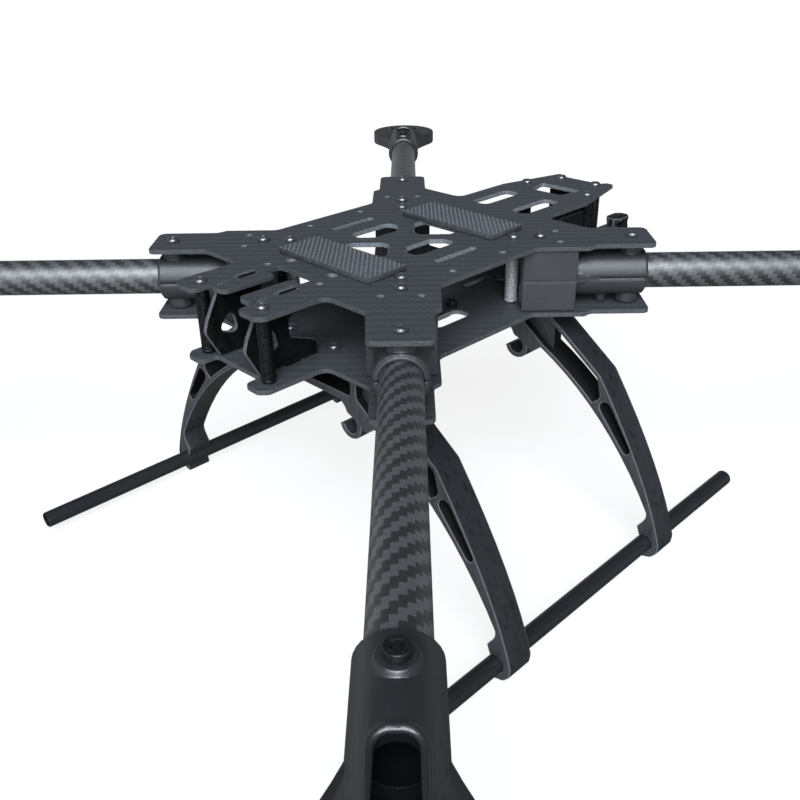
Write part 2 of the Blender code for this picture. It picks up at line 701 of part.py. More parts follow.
def pillar():
    return turned("pillar", [
        (0, BOTTOM_TOP + GAP), (PILLAR_RADIUS, BOTTOM_TOP + GAP),
        (PILLAR_RADIUS, TOP_UNDERSIDE - GAP), (0, TOP_UNDERSIDE - GAP)], SMALL_SIDES)


# Legs and skids

def leg():
    """A right-hand leg in its own plane: X outward, Y up from the floor, width along Z."""
    top = LEG_HEIGHT - GAP
    seat, foot = SKID_RADIUS + GAP, SKID_RADIUS + GAP + FOOT_WALL
    hook_seat, hook = RAIL_RADIUS + GAP, RAIL_RADIUS + GAP + HOOK_WALL
    skid, rail = Vector((SKID_X, foot)), Vector((RAIL_X, top - RAIL_DROP))
    knee = Vector((LEG_KNEE_X, top - LEG_KNEE_DROP))
    ankle = arc(skid, foot, 10, -90) + arc(skid, foot, -90, -100)[1:]
    shin = bezier(knee, (skid.x - 0.0011, 0.5 * knee.y - 0.0024), ankle[0], 8)
    calf = bezier((rail.x + 0.0145, rail.y + 0.0033), (knee.x + 0.0058, knee.y - 0.0168),
                  skid + Vector((-0.0008, 0.0164)), 10)
    beam = top - LEG_BEAM_DEPTH
    outline = [(LEG_INNER_X, top), (LEG_SHOULDER_X, top)] + shin + ankle[1:]
    outline += arc(skid, seat, -100, 135)
    outline += [tuple(skid + Vector(place)) for place in (
        (-0.0047, 0.0074), (-0.0018, 0.0118), (-0.0009, 0.0138))]
    outline += list(reversed(calf))
    outline += arc((rail.x + 0.0095, rail.y + 0.0034), 0.0036, -30, -140)
    outline += arc(rail, hook, 0, -165)
    outline += arc(rail, hook_seat, -165, 88)
    outline += [(rail.x - 0.0018, rail.y + 0.0049), (rail.x - 0.0032, rail.y + 0.0075)]
    outline += [(rail.x - 0.006, beam), (LEG_INNER_X, beam)]

    ceiling, floor = top - LEG_CHORD, beam + LEG_CHORD
    rib = LEG_RIB / 2
    window = rounded([
        (LEG_INNER_X + LEG_CHORD, ceiling, 0.0015), (LEG_RIB_X - rib, ceiling, 0.0015),
        (LEG_RIB_X - rib, floor, 0.0015), (LEG_INNER_X + LEG_CHORD, floor, 0.0015)])

    corner = Vector((LEG_SHOULDER_X, top))
    strut = (knee - corner).normalized()
    under = Vector((strut.y, -strut.x)) * LEG_SHELL
    roof = top - LEG_SHELL
    shoulder = corner + under + strut * ((roof - corner.y - under.y) / strut.y)
    elbow = knee + under
    sill = [Vector(a) + Vector((a[1] - b[1], b[0] - a[0])).normalized() * LEG_SHELL
            for a, b in zip(calf, calf[1:6])]
    triangle = rounded(
        [(LEG_RIB_X + rib, roof, 0.001), (*shoulder, 0.001), (*elbow, 0.002),
         (elbow.x + 0.0024, elbow.y - 0.0094, 0.0025)]
        + [(*point, 0) for point in reversed(sill)]
        + [(LEG_RIB_X + rib, floor, 0.0015)])

    high, low = knee + Vector((0.0046, -0.0156)), knee + Vector((0.0175, -0.0327))
    lean = math.degrees(math.atan2(low.y - high.y, low.x - high.x))
    slit = arc(high, 0.0034, lean + 90, lean + 270) + arc(low, 0.0022, lean - 90, lean + 90)
    frame = slab("leg", [outline, window, triangle, slit], -LEG_WIDTH / 2, LEG_WIDTH / 2)

    near, far = LEG_RIB_X, LEG_WEB_X
    web = slab("web", [[
        (near, top - LEG_SHELL / 2), (far, top - LEG_SHELL / 2), (far, rail.y + 0.0035),
        (rail.x + 0.0145, rail.y + 0.0045), (near, floor - LEG_CHORD / 2)]], -LEG_WEB / 2, LEG_WEB / 2)
    return joined(frame, web)


def skid_tube():
    inner = SKID_RADIUS - SKID_WALL
    half = (SKID_END - SKID_START) / 2
    return turned("skid", [(SKID_RADIUS, -half), (SKID_RADIUS, half), (inner, half), (inner, -half)],
                  ROUND_SIDES, closed=True)


# Nose, tail and pads

def nose_cheek():
    """A nose side plate in its own plane: X along the nose, Y up from the tube axis."""
    high, low = HALF_BLOCK, -HALF_BLOCK
    tab_top = PLATE_SPACING / 2 + PLATE_THICKNESS + CHEEK_TAB_RISE
    flush = PLATE_SPACING / 2 + PLATE_THICKNESS - GAP
    tab_end = CHEEK_TAB_START + CHEEK_TAB_LENGTH
    notch = NOSE_NOTCH_Y - GAP
    step = high - CHEEK_STEP_DROP
    heel = tab_end + 0.0025
    bow = NOSE_NOTCH_Y - 0.0125
    outline = rounded([
        (tab_end, high, 0), (tab_end, tab_top, 0), (CHEEK_TAB_START, tab_top, 0),
        (CHEEK_TAB_START, high, 0), (notch, high, 0), (notch, flush, 0), (notch - 0.003, flush, 0.0008),
        (bow + 0.0017, 0.0025, 0.004), (bow, -0.0025, 0.003), (bow + 0.006, low, 0),
        (CHEEK_TAB_START, low, 0), (CHEEK_TAB_START, -flush, 0),
        (tab_end, -flush, 0), (tab_end, low, 0),
        (CHEEK_REAR_Y, low, 0), (CHEEK_REAR_Y, step - 0.0040, 0.003),
        (heel - CHEEK_CUT_DEPTH + 0.0006, step + 0.0012, 0.0015),
        (heel - CHEEK_CUT_DEPTH, high - CHEEK_CUT_DROP, 0.004), (heel, high - CHEEK_CUT_DROP, 0.0008),
        (heel, high, 0)])
    window = rounded([
        (notch + 0.0012, 0.0055, CHEEK_WINDOW_ROUND), (bow + 0.0062, -0.0035, CHEEK_WINDOW_ROUND),
        (notch + 0.0040, -0.0065, CHEEK_WINDOW_ROUND)])
    return slab("nose_cheek", [outline, window], -CHEEK_THICKNESS / 2, CHEEK_THICKNESS / 2)


def tail_cheek():
    """A low tail side plate in its own plane, ending just ahead of the side pillar."""
    end = SIDE_PILLAR[1] - PILLAR_RADIUS - 2 * GAP
    top = HALF_BLOCK - TAIL_CHEEK_DROP
    outline = rounded([
        (end - TAIL_CHEEK_LENGTH, -HALF_BLOCK, 0.002), (end, -HALF_BLOCK, 0),
        (end, top, 0), (end - TAIL_CHEEK_LENGTH, top, 0.002)])
    return slab("tail_cheek", [outline], -CHEEK_THICKNESS / 2, CHEEK_THICKNESS / 2)


def tail_panel():
    """The upright panel across the tail, ahead of the end pillars."""
    return box("tail_panel",
               (-TAIL_PANEL_HALF_WIDTH, TAIL_PANEL_Y - CHEEK_THICKNESS / 2, BOTTOM_TOP + GAP),
               (TAIL_PANEL_HALF_WIDTH, TAIL_PANEL_Y + CHEEK_THICKNESS / 2, TOP_UNDERSIDE - GAP))


def tail_bracket():
    """A tongue under the tail with a block at its end that has two cross holes."""
    top = LEG_HEIGHT - GAP
    low = top - BRACKET_THICKNESS
    block_start = BRACKET_END - EYE_BLOCK_LENGTH
    tongue = box("tail_bracket", (-BRACKET_HALF_WIDTH, BRACKET_START, low),
                 (BRACKET_HALF_WIDTH, block_start + EYE_BLOCK_LENGTH / 2, top))
    half, bevel = EYE_BLOCK_HALF_WIDTH, EYE_BLOCK_CHAMFER
    plan = mirrored([
        (half - bevel, block_start), (half, block_start + bevel),
        (half, BRACKET_END - bevel), (half - bevel, BRACKET_END)])
    sole = low - EYE_BLOCK_DROP
    block = slab("block", [plan], sole, sole + EYE_BLOCK_HEIGHT)
    eyes = []
    for side in (-1, 1):
        y = block_start + EYE_BLOCK_LENGTH / 2 + side * EYE_SPACING / 2
        z = sole + EYE_BLOCK_HEIGHT / 2
        eyes.append(cylinder("eye", EYE_RADIUS, (-0.05, y, z), (0.05, y, z), SMALL_SIDES))
    return cut(joined(tongue, block), *eyes)


def grip_pad():
    return slab("grip_pad", [slot(0, 0, PAD_LENGTH / 2, PAD_HALF_WIDTH, 0.0012)], 0, PAD_THICKNESS)


for leftover in list(bpy.data.objects):
    bpy.data.objects.remove(leftover, do_unlink=True)
PARTS = new_collection("multirotor_airframe")
WORKSHOP = new_collection("workshop")

SHEET = material("carbon_sheet", (0.045, 0.047, 0.051), 0.55)
WOVEN = material("woven_tube", (0.060, 0.062, 0.066), 0.38)
NYLON = material("moulded_nylon", (0.030, 0.031, 0.034), 0.62)
LEG_NYLON = material("leg_nylon", (0.014, 0.014, 0.015), 0.42)
SKID_FINISH = material("skid_finish", (0.010, 0.010, 0.011), 0.40)
SCREW_STEEL = material("black_screw", (0.055, 0.055, 0.058), 0.32, 0.9)
ANODISED = material("anodised_pillar", (0.025, 0.025, 0.027), 0.35, 0.8)
BRIGHT = material("bright_pillar", (0.42, 0.43, 0.44), 0.45, 0.9)
GRIP = material("grip_rubber", (0.085, 0.087, 0.092), 0.80)

place("top_plate", shape_of(top_plate()), SHEET)
place("bottom_plate", shape_of(bottom_plate()), SHEET)

HOLDERS = {side: shape_of(holder_half(side)) for side in (-1, 1)}
TUBE = shape_of(arm_tube())
MOUNT = shape_of(motor_mount())
CLAMP = shape_of(clamp_screw())
PIVOT = shape_of(pivot_bolt())
LOCK = shape_of(lock_screw())
ARM_PILLAR_SHAPE = shape_of(pillar())
for arm, (heading, fold) in ARMS.items():
    toward = arm_direction(arm)
    hinge = bpy.data.objects.new("hinge_" + arm, None)
    hinge.location = (*(toward * ARM_PIVOT), TUBE_Z)
    hinge.rotation_euler = (0, 0, math.radians(heading))
    PARTS.objects.link(hinge)
    place("arm_holder_upper_" + arm, HOLDERS[fold], NYLON, parent=hinge)
    place("arm_holder_lower_" + arm, HOLDERS[-fold], NYLON, rotation=(math.pi, 0, 0), parent=hinge)
    place("arm_tube_" + arm, TUBE, WOVEN, parent=hinge)
    place("motor_mount_" + arm, MOUNT, NYLON, parent=hinge)
    place("clamp_screw_" + arm, CLAMP, SCREW_STEEL, (from_pivot(CLAMP_SCREW), 0, 0), parent=hinge)
    place("pivot_bolt_" + arm, PIVOT, SCREW_STEEL, (*(toward * ARM_PIVOT), 0))
    place("lock_screw_" + arm, LOCK, SCREW_STEEL, (*(toward * ARM_LOCK), 0))
    place("arm_pillar_" + arm, ARM_PILLAR_SHAPE, BRIGHT, (*(toward * ARM_PILLAR), 0))

PILLAR = shape_of(pillar())
LEG = shape_of(leg())
SKID = shape_of(skid_tube())
NOSE_CHEEK = shape_of(nose_cheek())
TAIL_CHEEK = shape_of(tail_cheek())
STAND = (math.pi / 2, 0, math.pi / 2)
for hand, side in (("left", -1), ("right", 1)):
    facing = 0 if side > 0 else math.pi
    for end, y in (("front", -LEG_Y), ("rear", LEG_Y)):
        place("leg_" + end + "_" + hand, LEG, LEG_NYLON, (0, y, 0), (math.pi / 2, 0, facing))
    place("skid_" + hand, SKID, SKID_FINISH,
          (side * SKID_X, (SKID_START + SKID_END) / 2, SKID_RADIUS + GAP + FOOT_WALL), (math.pi / 2, 0, 0))
    place("nose_cheek_" + hand, NOSE_CHEEK, SHEET, (side * CHEEK_X, 0, TUBE_Z), STAND)
    place("tail_cheek_" + hand, TAIL_CHEEK, SHEET, (side * SIDE_PILLAR[0], 0, TUBE_Z), STAND)
    place("nose_pillar_" + hand, PILLAR, ANODISED, (side * NOSE_PILLAR[0], NOSE_PILLAR[1], 0))
    for row, (x, y) in (("side", SIDE_PILLAR), ("end", END_PILLAR)):
        place("tail_pillar_" + row + "_" + hand, PILLAR, ANODISED, (side * x, y, 0))

place("tail_panel", shape_of(tail_panel()), SHEET)
place("tail_bracket", shape_of(tail_bracket()), NYLON)
PAD = shape_of(grip_pad())
place("grip_pad_front", PAD, GRIP, (PAD_X, FRONT_PAD_Y, TOP_TOP + GAP))
place("grip_pad_rear", PAD, GRIP, (PAD_X, REAR_PAD_Y, TOP_TOP + GAP))
bpy.data.collections.remove(WORKSHOP)
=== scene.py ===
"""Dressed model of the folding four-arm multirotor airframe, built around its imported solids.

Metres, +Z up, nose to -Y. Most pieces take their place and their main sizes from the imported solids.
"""
import math

import bmesh
import bpy
from mathutils import Matrix, Vector


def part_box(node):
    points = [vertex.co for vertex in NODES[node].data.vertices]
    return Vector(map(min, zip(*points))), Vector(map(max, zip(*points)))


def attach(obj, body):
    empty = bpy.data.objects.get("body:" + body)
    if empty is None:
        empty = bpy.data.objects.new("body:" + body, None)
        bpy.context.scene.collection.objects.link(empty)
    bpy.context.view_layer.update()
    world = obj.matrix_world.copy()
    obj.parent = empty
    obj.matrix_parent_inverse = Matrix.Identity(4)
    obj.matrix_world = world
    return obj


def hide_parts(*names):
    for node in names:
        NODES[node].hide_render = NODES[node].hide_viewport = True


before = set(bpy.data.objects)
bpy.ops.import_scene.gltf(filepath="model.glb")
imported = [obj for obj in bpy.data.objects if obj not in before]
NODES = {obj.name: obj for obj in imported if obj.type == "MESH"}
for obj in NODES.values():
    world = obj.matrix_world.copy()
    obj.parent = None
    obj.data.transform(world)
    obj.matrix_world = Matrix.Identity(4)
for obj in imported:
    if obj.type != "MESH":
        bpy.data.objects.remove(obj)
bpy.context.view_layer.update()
SCENE = bpy.context.scene

ARMS = {"front_right": -45.0, "rear_right": 45.0, "rear_left": 135.0, "front_left": 225.0}
HANDS = ("left", "right")


# ---------------- materials

NOISE_SPAN = (0.3, 0.7)  # where most of a noise texture's values lie
SEAM_SPAN = (0.40, 0.5)  # where the painted shade at the edge of a tow starts and ends, from the tow's middle
TWILL_REPEAT, TWILL_OVER = 4.0, 1.5  # tows in one repeat of the twill, and the limit of those on top
DOT_FADE = 0.0004  # the height over which the rubber turns pale towards the top of a dot


class Tree:
    """Short forms for the nodes of a material or a world."""

    def __init__(self, owner):
        owner.use_nodes = True
        self.nodes, self.links = owner.node_tree.nodes, owner.node_tree.links

    def node(self, kind, **inputs):
        made = self.nodes.new(kind)
        for name, value in inputs.items():
            self.feed(made.inputs[name], value)
        return made

    def feed(self, socket, value):
        if isinstance(value, bpy.types.NodeSocket):
            self.links.new(value, socket)
        else:
            socket.default_value = value

    def math(self, operation, first, second=0.0):
        made = self.nodes.new("ShaderNodeMath")
        made.operation = operation
        self.feed(made.inputs[0], first)
        self.feed(made.inputs[1], second)
        return made.outputs[0]

    def coords(self, kind):
        return self.nodes.new("ShaderNodeTexCoord").outputs[kind]

    def axes(self, vector):
        return self.node("ShaderNodeSeparateXYZ", Vector=vector).outputs

    def span(self, value, low, high, to_low=0.0, to_high=1.0):
        made = self.nodes.new("ShaderNodeMapRange")
        for index, number in enumerate((value, low, high, to_low, to_high)):
            self.feed(made.inputs[index], number)
        return made.outputs[0]


class Finish(Tree):
    """One procedural material. What doesn't vary is set on the shader's own sockets."""

    def __init__(self, name, **fixed):
        self.material = bpy.data.materials.new(name)
        super().__init__(self.material)
        self.shader = self.nodes["Principled BSDF"]
        for socket, value in fixed.items():
            self.shader.inputs[socket.replace("_", " ")].default_value = value

    def place(self, kind="Object", scale=(1, 1, 1)):
        return self.node("ShaderNodeMapping", Vector=self.coords(kind), Scale=scale).outputs[0]

    def noise(self, vector, scale, detail=2.0, roughness=0.5):
        made = self.node("ShaderNodeTexNoise", Vector=vector, Scale=scale, Detail=detail, Roughness=roughness)
        return made.outputs["Fac"]

    def cells(self, vector, scale):
        made = self.node("ShaderNodeTexVoronoi", Vector=vector, Scale=scale)
        return made.outputs["Distance"]

    def blend(self, amount, first, second):
        made = self.nodes.new("ShaderNodeMix")
        made.data_type = "RGBA"
        self.feed(made.inputs["Factor"], amount)
        for socket, value in ((made.inputs[6], first), (made.inputs[7], second)):
            self.feed(socket, value if isinstance(value, bpy.types.NodeSocket) else (*value, 1.0))
        return made.outputs[2]

    def twill(self, u, v):
        """1 where the tows along v lie on top of a two by two twill, 0 where those along u do."""
        step = self.math("SUBTRACT", self.math("FLOOR", u), self.math("FLOOR", v))
        return self.math("LESS_THAN", self.math("FLOORED_MODULO", step, TWILL_REPEAT), TWILL_OVER)

    def off_middle(self, value):
        """How far a coordinate is from the middle of its tow, which fills the space between whole numbers."""
        return self.math("ABSOLUTE", self.math("SUBTRACT", self.math("FRACT", value), 0.5))

    def rib(self, value):
        """Height of a round tow."""
        return self.math("SUBTRACT", 1.0, self.math("POWER", self.off_middle(value), 2.5))

    def seam(self, value):
        """1 on the line between two tows, 0 a little way off it."""
        return self.span(self.off_middle(value), *SEAM_SPAN)

    def pick(self, over, first, second):
        """The first value where over is 1, the second where it is 0."""
        return self.math("ADD", self.math("MULTIPLY", first, over),
                         self.math("MULTIPLY", second, self.math("SUBTRACT", 1.0, over)))

    def colour(self, value):
        self.feed(self.shader.inputs["Base Color"], value)

    def roughness(self, value, low, high, ends=NOISE_SPAN):
        self.feed(self.shader.inputs["Roughness"], self.span(value, *ends, low, high))

    def bump(self, height, depth):
        made = self.node("ShaderNodeBump", Height=height, Distance=depth)
        self.links.new(made.outputs[0], self.shader.inputs["Normal"])


def carbon_face(name, tow, dark, light):
    """A matt laminate with a faint twill under its skin."""
    made = Finish(name, Specular_IOR_Level=0.30)
    where = made.place()
    x, y, _ = made.axes(where)
    over = made.twill(made.math("DIVIDE", x, tow), made.math("DIVIDE", y, tow))
    cloud = made.noise(where, 60.0, 4.0, 0.6)
    grain = made.noise(where, 2600.0, 2.0, 0.7)
    weave = made.blend(over, dark, light)
    patchy = made.blend(made.span(cloud, *NOISE_SPAN, 0.0, 0.45), weave, dark)
    made.colour(made.blend(made.span(grain, 0.62, 0.80, 0.0, 0.35), patchy, [3.0 * c for c in light]))
    made.roughness(cloud, 0.50, 0.62)
    made.bump(made.math("ADD", made.math("MULTIPLY", grain, 0.6), made.math("MULTIPLY", over, 0.15)), 0.00003)
    return made.material


def carbon_edge(name, axis, dark, light):
    """The cut edge of a laminate: thin plies across its thickness and dusty cutter marks."""
    made = Finish(name, Specular_IOR_Level=0.35)
    squeeze = [900.0] * 3
    squeeze[axis] = 5200.0
    where = made.place(scale=squeeze)
    plies = made.noise(where, 1.0, 2.0, 0.6)
    dust = made.noise(made.place(), 700.0, 3.0, 0.6)
    layer = made.blend(made.span(plies, 0.35, 0.65), dark, light)
    made.colour(made.blend(made.span(dust, 0.45, 0.75, 0.0, 0.5), layer, light))
    made.roughness(dust, 0.45, 0.65)
    made.bump(plies, 0.00005)
    return made.material


def woven_tube(name):
    """A satin tube of two by two twill; its UV map counts tows around and along the tube."""
    made = Finish(name, Specular_IOR_Level=0.20, Coat_Weight=1.0, Coat_Roughness=0.48, Coat_IOR=2.1)
    u, v, _ = made.axes(made.place("UV"))
    over = made.twill(u, v)
    fibre_along = made.noise(made.place("UV", scale=(14.0, 0.8, 1.0)), 1.0, 3.0, 0.7)
    fibre_round = made.noise(made.place("UV", scale=(0.8, 14.0, 1.0)), 1.0, 3.0, 0.7)
    # Painted reflection: tows running round the tube are coloured paler than tows running along it. This stands in
    # for the sheen that changes with fibre direction.
    along = made.blend(made.span(fibre_along, *NOISE_SPAN), (0.006, 0.0064, 0.0071), (0.014, 0.0150, 0.0167))
    around = made.blend(made.span(fibre_round, *NOISE_SPAN), (0.048, 0.0525, 0.0583), (0.086, 0.0935, 0.1035))
    tows_painted_sheen = made.blend(over, around, along)
    # Painted shade: the colour darkens along the seams between tows, where a round tow turns away from the light.
    painted_seam_shade = made.pick(over, made.seam(u), made.seam(v))
    made.colour(made.blend(made.math("MULTIPLY", painted_seam_shade, 0.30), tows_painted_sheen, (0.010, 0.0106, 0.0118)))
    made.roughness(over, 0.34, 0.42, (0.0, 1.0))
    crown = made.pick(over, made.rib(u), made.rib(v))
    made.bump(made.math("ADD", crown, made.math("MULTIPLY", fibre_round, 0.2)), 0.00006)
    return made.material


def moulding(name, dark, light, rough, grain_scale, grain_depth, specular=0.5):
    """A moulded plastic with a fine grain and slow colour drift, paler on the high points of its grain."""
    made = Finish(name, Specular_IOR_Level=specular)
    where = made.place()
    cloud = made.noise(where, 45.0, 3.0, 0.55)
    grain = made.noise(where, grain_scale, 3.0, 0.65)
    tone = made.blend(made.span(cloud, *NOISE_SPAN), dark, light)
    made.colour(made.blend(made.span(grain, 0.60, 0.85, 0.0, 0.5), tone, [2.2 * c for c in light]))
    made.roughness(grain, rough - 0.06, rough + 0.06)
    made.bump(grain, grain_depth)
    return made.material


def metal(name, dark, light, rough, scale, depth, metallic=0.9):
    """A blackened or anodised metal with fine speckle and handling marks."""
    made = Finish(name, Metallic=metallic)
    where = made.place()
    speckle = made.noise(where, scale, 3.0, 0.6)
    rub = made.noise(where, 400.0, 4.0, 0.6)
    made.colour(made.blend(made.span(speckle, 0.35, 0.70), dark, light))
    made.roughness(rub, rough - 0.07, rough + 0.10)
    made.bump(speckle, depth)
    return made.material


def skid_finish(name):
    """A drawn black tube: fine lengthwise die lines on a satin coat."""
    made = Finish(name, Specular_IOR_Level=0.45)
    lines = made.noise(made.place(scale=(2600.0, 12.0, 2600.0)), 1.0, 2.0, 0.5)
    scuff = made.noise(made.place(), 140.0, 4.0, 0.6)
    tone = made.blend(lines, (0.0105, 0.0114, 0.0127), (0.0210, 0.0228, 0.0255))
    made.colour(made.blend(made.span(scuff, 0.62, 0.78, 0.0, 0.4), tone, (0.020, 0.021, 0.023)))
    made.roughness(scuff, 0.26, 0.38)
    made.bump(lines, 0.00002)
    return made.material


def leg_finish(name, dark, light, rough):
    """Black moulded plastic with dark flow marks drawn out along the leg."""
    made = Finish(name, Specular_IOR_Level=0.55)
    flow = made.noise(made.place(scale=(430.0, 430.0, 42.0)), 1.0, 4.0, 0.55)
    cloud = made.noise(made.place(), 60.0, 3.0, 0.5)
    grain = made.noise(made.place(), 1500.0, 3.0, 0.65)
    mark = made.math("MULTIPLY", made.span(flow, 0.50, 0.66), made.span(cloud, 0.38, 0.60, 0.25, 1.0))
    made.colour(made.blend(mark, light, dark))
    made.roughness(flow, rough - 0.08, rough + 0.08)
    made.bump(made.math("ADD", flow, made.math("MULTIPLY", grain, 0.3)), 0.00010)
    return made.material


def black_sheet(name):
    """The blackened inner plates: a crumpled gloss coat, with small glints painted into its colour."""
    made = Finish(name, Specular_IOR_Level=0.35)
    where = made.place()
    cloud = made.noise(where, 240.0, 4.0, 0.6)
    fleck_and_painted_glint = made.cells(where, 900.0)
    tone = made.blend(made.span(cloud, 0.35, 0.7), (0.0022, 0.0023, 0.0026), (0.0060, 0.0064, 0.0072))
    # Painted glints: the colour turns pale at the middle of each fleck.
    made.colour(made.blend(made.span(fleck_and_painted_glint, 0.08, 0.16, 0.35, 0.0), tone, (0.028, 0.030, 0.033)))
    made.roughness(cloud, 0.34, 0.52)
    made.bump(made.math("ADD", cloud, made.math("MULTIPLY", fleck_and_painted_glint, 0.3)), 0.00010)
    return made.material


def grip_rubber(name):
    """Dusty grey rubber, paler on its raised dots."""
    made = Finish(name, Specular_IOR_Level=0.25)
    where = made.place()
    height = made.axes(where)[2]
    dust = made.noise(where, 500.0, 4.0, 0.65)
    crumb = made.noise(where, 3000.0, 2.0, 0.7)
    raised = made.span(height, PAD_TOP - DOT_FADE, PAD_TOP)
    tone = made.blend(raised, (0.052, 0.0560, 0.0615), (0.155, 0.1650, 0.179))
    made.colour(made.blend(made.span(dust, 0.45, 0.8, 0.0, 0.35), tone, (0.19, 0.200, 0.214)))
    made.roughness(dust, 0.66, 0.85)
    made.bump(crumb, 0.00006)
    return made.material


# ---------------- shapes

WELD = 0.000002  # corners this near each other are one
FLAT, UPRIGHT = 0.95, 0.2  # a normal's share along an axis: above is a flat face, below is a wall
HOLE_SIDES, HOLE_STEPS = 8, 32  # sides of a round hole in the solids and in the visual pieces
CORNER_SHARE, CORNER_CUT = 0.25, 0.0005  # the most cut off at a corner: share of an edge, and metres
CORNER_TURNS = (math.radians(2), math.radians(50))
WALL_NEAR = 0.0004  # walls this near a cut-out's box belong to it
KNURL_TEETH, KNURL_STEPS = 16, 4  # teeth around a knurl, and steps in each
PILLAR_TIP, PILLAR_EASE = 0.86, 0.0003  # the eased ends of a pillar: share of its radius, and height
PILLAR_PLAIN, PILLAR_STEP = 0.0011, 0.0002  # the plain ends of a knurled pillar, and the step to the knurl
TOWS_AROUND, TOW_LENGTH = 24, 0.00215
RIM_SHARE = 0.35  # how much of a tube's wall its eased rims take
BORE_STRIPS = (4, 5, 6)  # the strips of a tube's profile that lie inside it
SMOOTH_FACTOR, THINNING = 0.5, 0.35
STILL = Matrix.Identity(4)


def add(name, mesh, body, materials, stands_for=(), matrix=None):
    """Put a piece in place, ride it on its body and hide the parts it stands for."""
    if matrix is not None:
        mesh = mesh.copy()
        mesh.transform(matrix)
    for each in materials:
        mesh.materials.append(each)
    item = bpy.data.objects.new(name, mesh)
    SCENE.collection.objects.link(item)
    bpy.context.view_layer.update()
    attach(item, body)
    if stands_for:
        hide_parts(*stands_for)


def to_mesh(name, shape, sharp=None):
    """A mesh from a bmesh, shaded smooth up to an angle in degrees."""
    bmesh.ops.recalc_face_normals(shape, faces=shape.faces)
    mesh = bpy.data.meshes.new(name)
    shape.to_mesh(mesh)
    shape.free()
    mesh.shade_smooth()
    if sharp is not None:
        mesh.set_sharp_from_angle(angle=math.radians(sharp))
    return mesh


def applied(item):
    """The mesh of a scratch object with its modifiers; the object goes."""
    bpy.context.view_layer.update()
    graph = bpy.context.evaluated_depsgraph_get()
    mesh = bpy.data.meshes.new_from_object(item.evaluated_get(graph))
    bpy.data.objects.remove(item, do_unlink=True)
    return mesh


def scratch(name, mesh):
    """A passing object for a mesh or a curve."""
    item = bpy.data.objects.new(name, mesh)
    SCENE.collection.objects.link(item)
    return item


def turns(count):
    """Even steps around a circle."""
    return [2 * math.pi * step / count for step in range(count)]


def box_area(loop):
    """The area of a loop's box."""
    return (max(p.x for p in loop) - min(p.x for p in loop)) * (max(p.y for p in loop) - min(p.y for p in loop))


def loops_of(node, axis, level=None):
    """Closed outlines of the node's flat face that looks along an axis."""
    mesh = NODES[node].data
    places = [vertex.co for vertex in mesh.vertices]
    level = max(place[axis] for place in places) if level is None else level
    first, second = (axis + 1) % 3, (axis + 2) % 3
    edges = set()
    for face in mesh.polygons:
        if face.normal[axis] > 0.9 and all(abs(places[i][axis] - level) < 0.00001 for i in face.vertices):
            ring = [(round(places[i][first], 6), round(places[i][second], 6)) for i in face.vertices]
            edges.update(zip(ring, ring[1:] + ring[:1]))
    onward = {start: end for start, end in edges if (end, start) not in edges}
    loops = []
    for start in sorted(onward):
        if start not in onward:
            continue
        loop, point = [start], onward.pop(start)
        while point != start:
            loop.append(point)
            point = onward.pop(point)
        loops.append([Vector(point) for point in loop])
    return loops


def eased(loop):
    """The outline with round holes made rounder and shallow corners cut twice."""
    middle = sum(loop, Vector((0, 0))) / len(loop)
    sides = [(a - b).length for a, b in zip(loop, loop[1:] + loop[:1])]
    if len(loop) == HOLE_SIDES and max(sides) < 1.05 * min(sides):
        radius = (loop[0] - middle).length
        return [middle + radius * Vector((math.cos(t), math.sin(t))) for t in turns(HOLE_STEPS)]
    for _ in range(2):
        smooth = []
        for index, corner in enumerate(loop):
            back, ahead = loop[index - 1] - corner, loop[(index + 1) % len(loop)] - corner
            turn = math.pi - back.angle(ahead)
            if CORNER_TURNS[0] < turn < CORNER_TURNS[1]:
                cut = min(CORNER_SHARE * back.length, CORNER_SHARE * ahead.length, CORNER_CUT)
                smooth += [corner + back.normalized() * cut, corner + ahead.normalized() * cut]
            else:
                smooth.append(corner)
        loop = smooth
    return loop


def sheet_mesh(name, loops, axis, low, high, bevel, grow=0.0):
    """A flat piece with softened edges.

    Its outer edge takes the second material and the walls of its cut-outs the third.
    """
    curve = bpy.data.curves.new(name, "CURVE")
    curve.dimensions = "2D"
    curve.fill_mode = "BOTH"
    curve.extrude = (high - low) / 2 - bevel
    curve.bevel_depth = bevel
    curve.bevel_resolution = 1
    curve.offset = grow - bevel
    for loop in loops:
        spline = curve.splines.new("POLY")
        spline.points.add(len(loop) - 1)
        spline.use_cyclic_u = True
        for point, place in zip(spline.points, loop):
            point.co = (*place, 0, 1)
    mesh = applied(scratch(name, curve))
    units = [Vector([float(k == line % 3) for k in range(3)]) for line in (axis + 1, axis + 2, axis)]
    matrix = Matrix(units).transposed().to_4x4()
    matrix.translation = units[2] * (low + high) / 2
    shape = bmesh.new()
    shape.from_mesh(mesh)
    bpy.data.meshes.remove(mesh)
    bmesh.ops.remove_doubles(shape, verts=shape.verts, dist=WELD)
    bmesh.ops.dissolve_degenerate(shape, edges=shape.edges, dist=WELD / 2)
    bmesh.ops.transform(shape, matrix=matrix, verts=shape.verts)
    bmesh.ops.recalc_face_normals(shape, faces=shape.faces)
    first, second = (axis + 1) % 3, (axis + 2) % 3
    cuts = sorted(loops, key=box_area)[:-1]
    lows = [(min(p.x for p in loop) - WALL_NEAR, min(p.y for p in loop) - WALL_NEAR) for loop in cuts]
    highs = [(max(p.x for p in loop) + WALL_NEAR, max(p.y for p in loop) + WALL_NEAR) for loop in cuts]
    for face in shape.faces:
        if abs(face.normal[axis]) < FLAT:
            spot = face.calc_center_median()
            inside = any(least[0] < spot[first] < most[0] and least[1] < spot[second] < most[1]
                         for least, most in zip(lows, highs))
            face.material_index = 2 if inside else 1
    return to_mesh(name, shape, sharp=22)


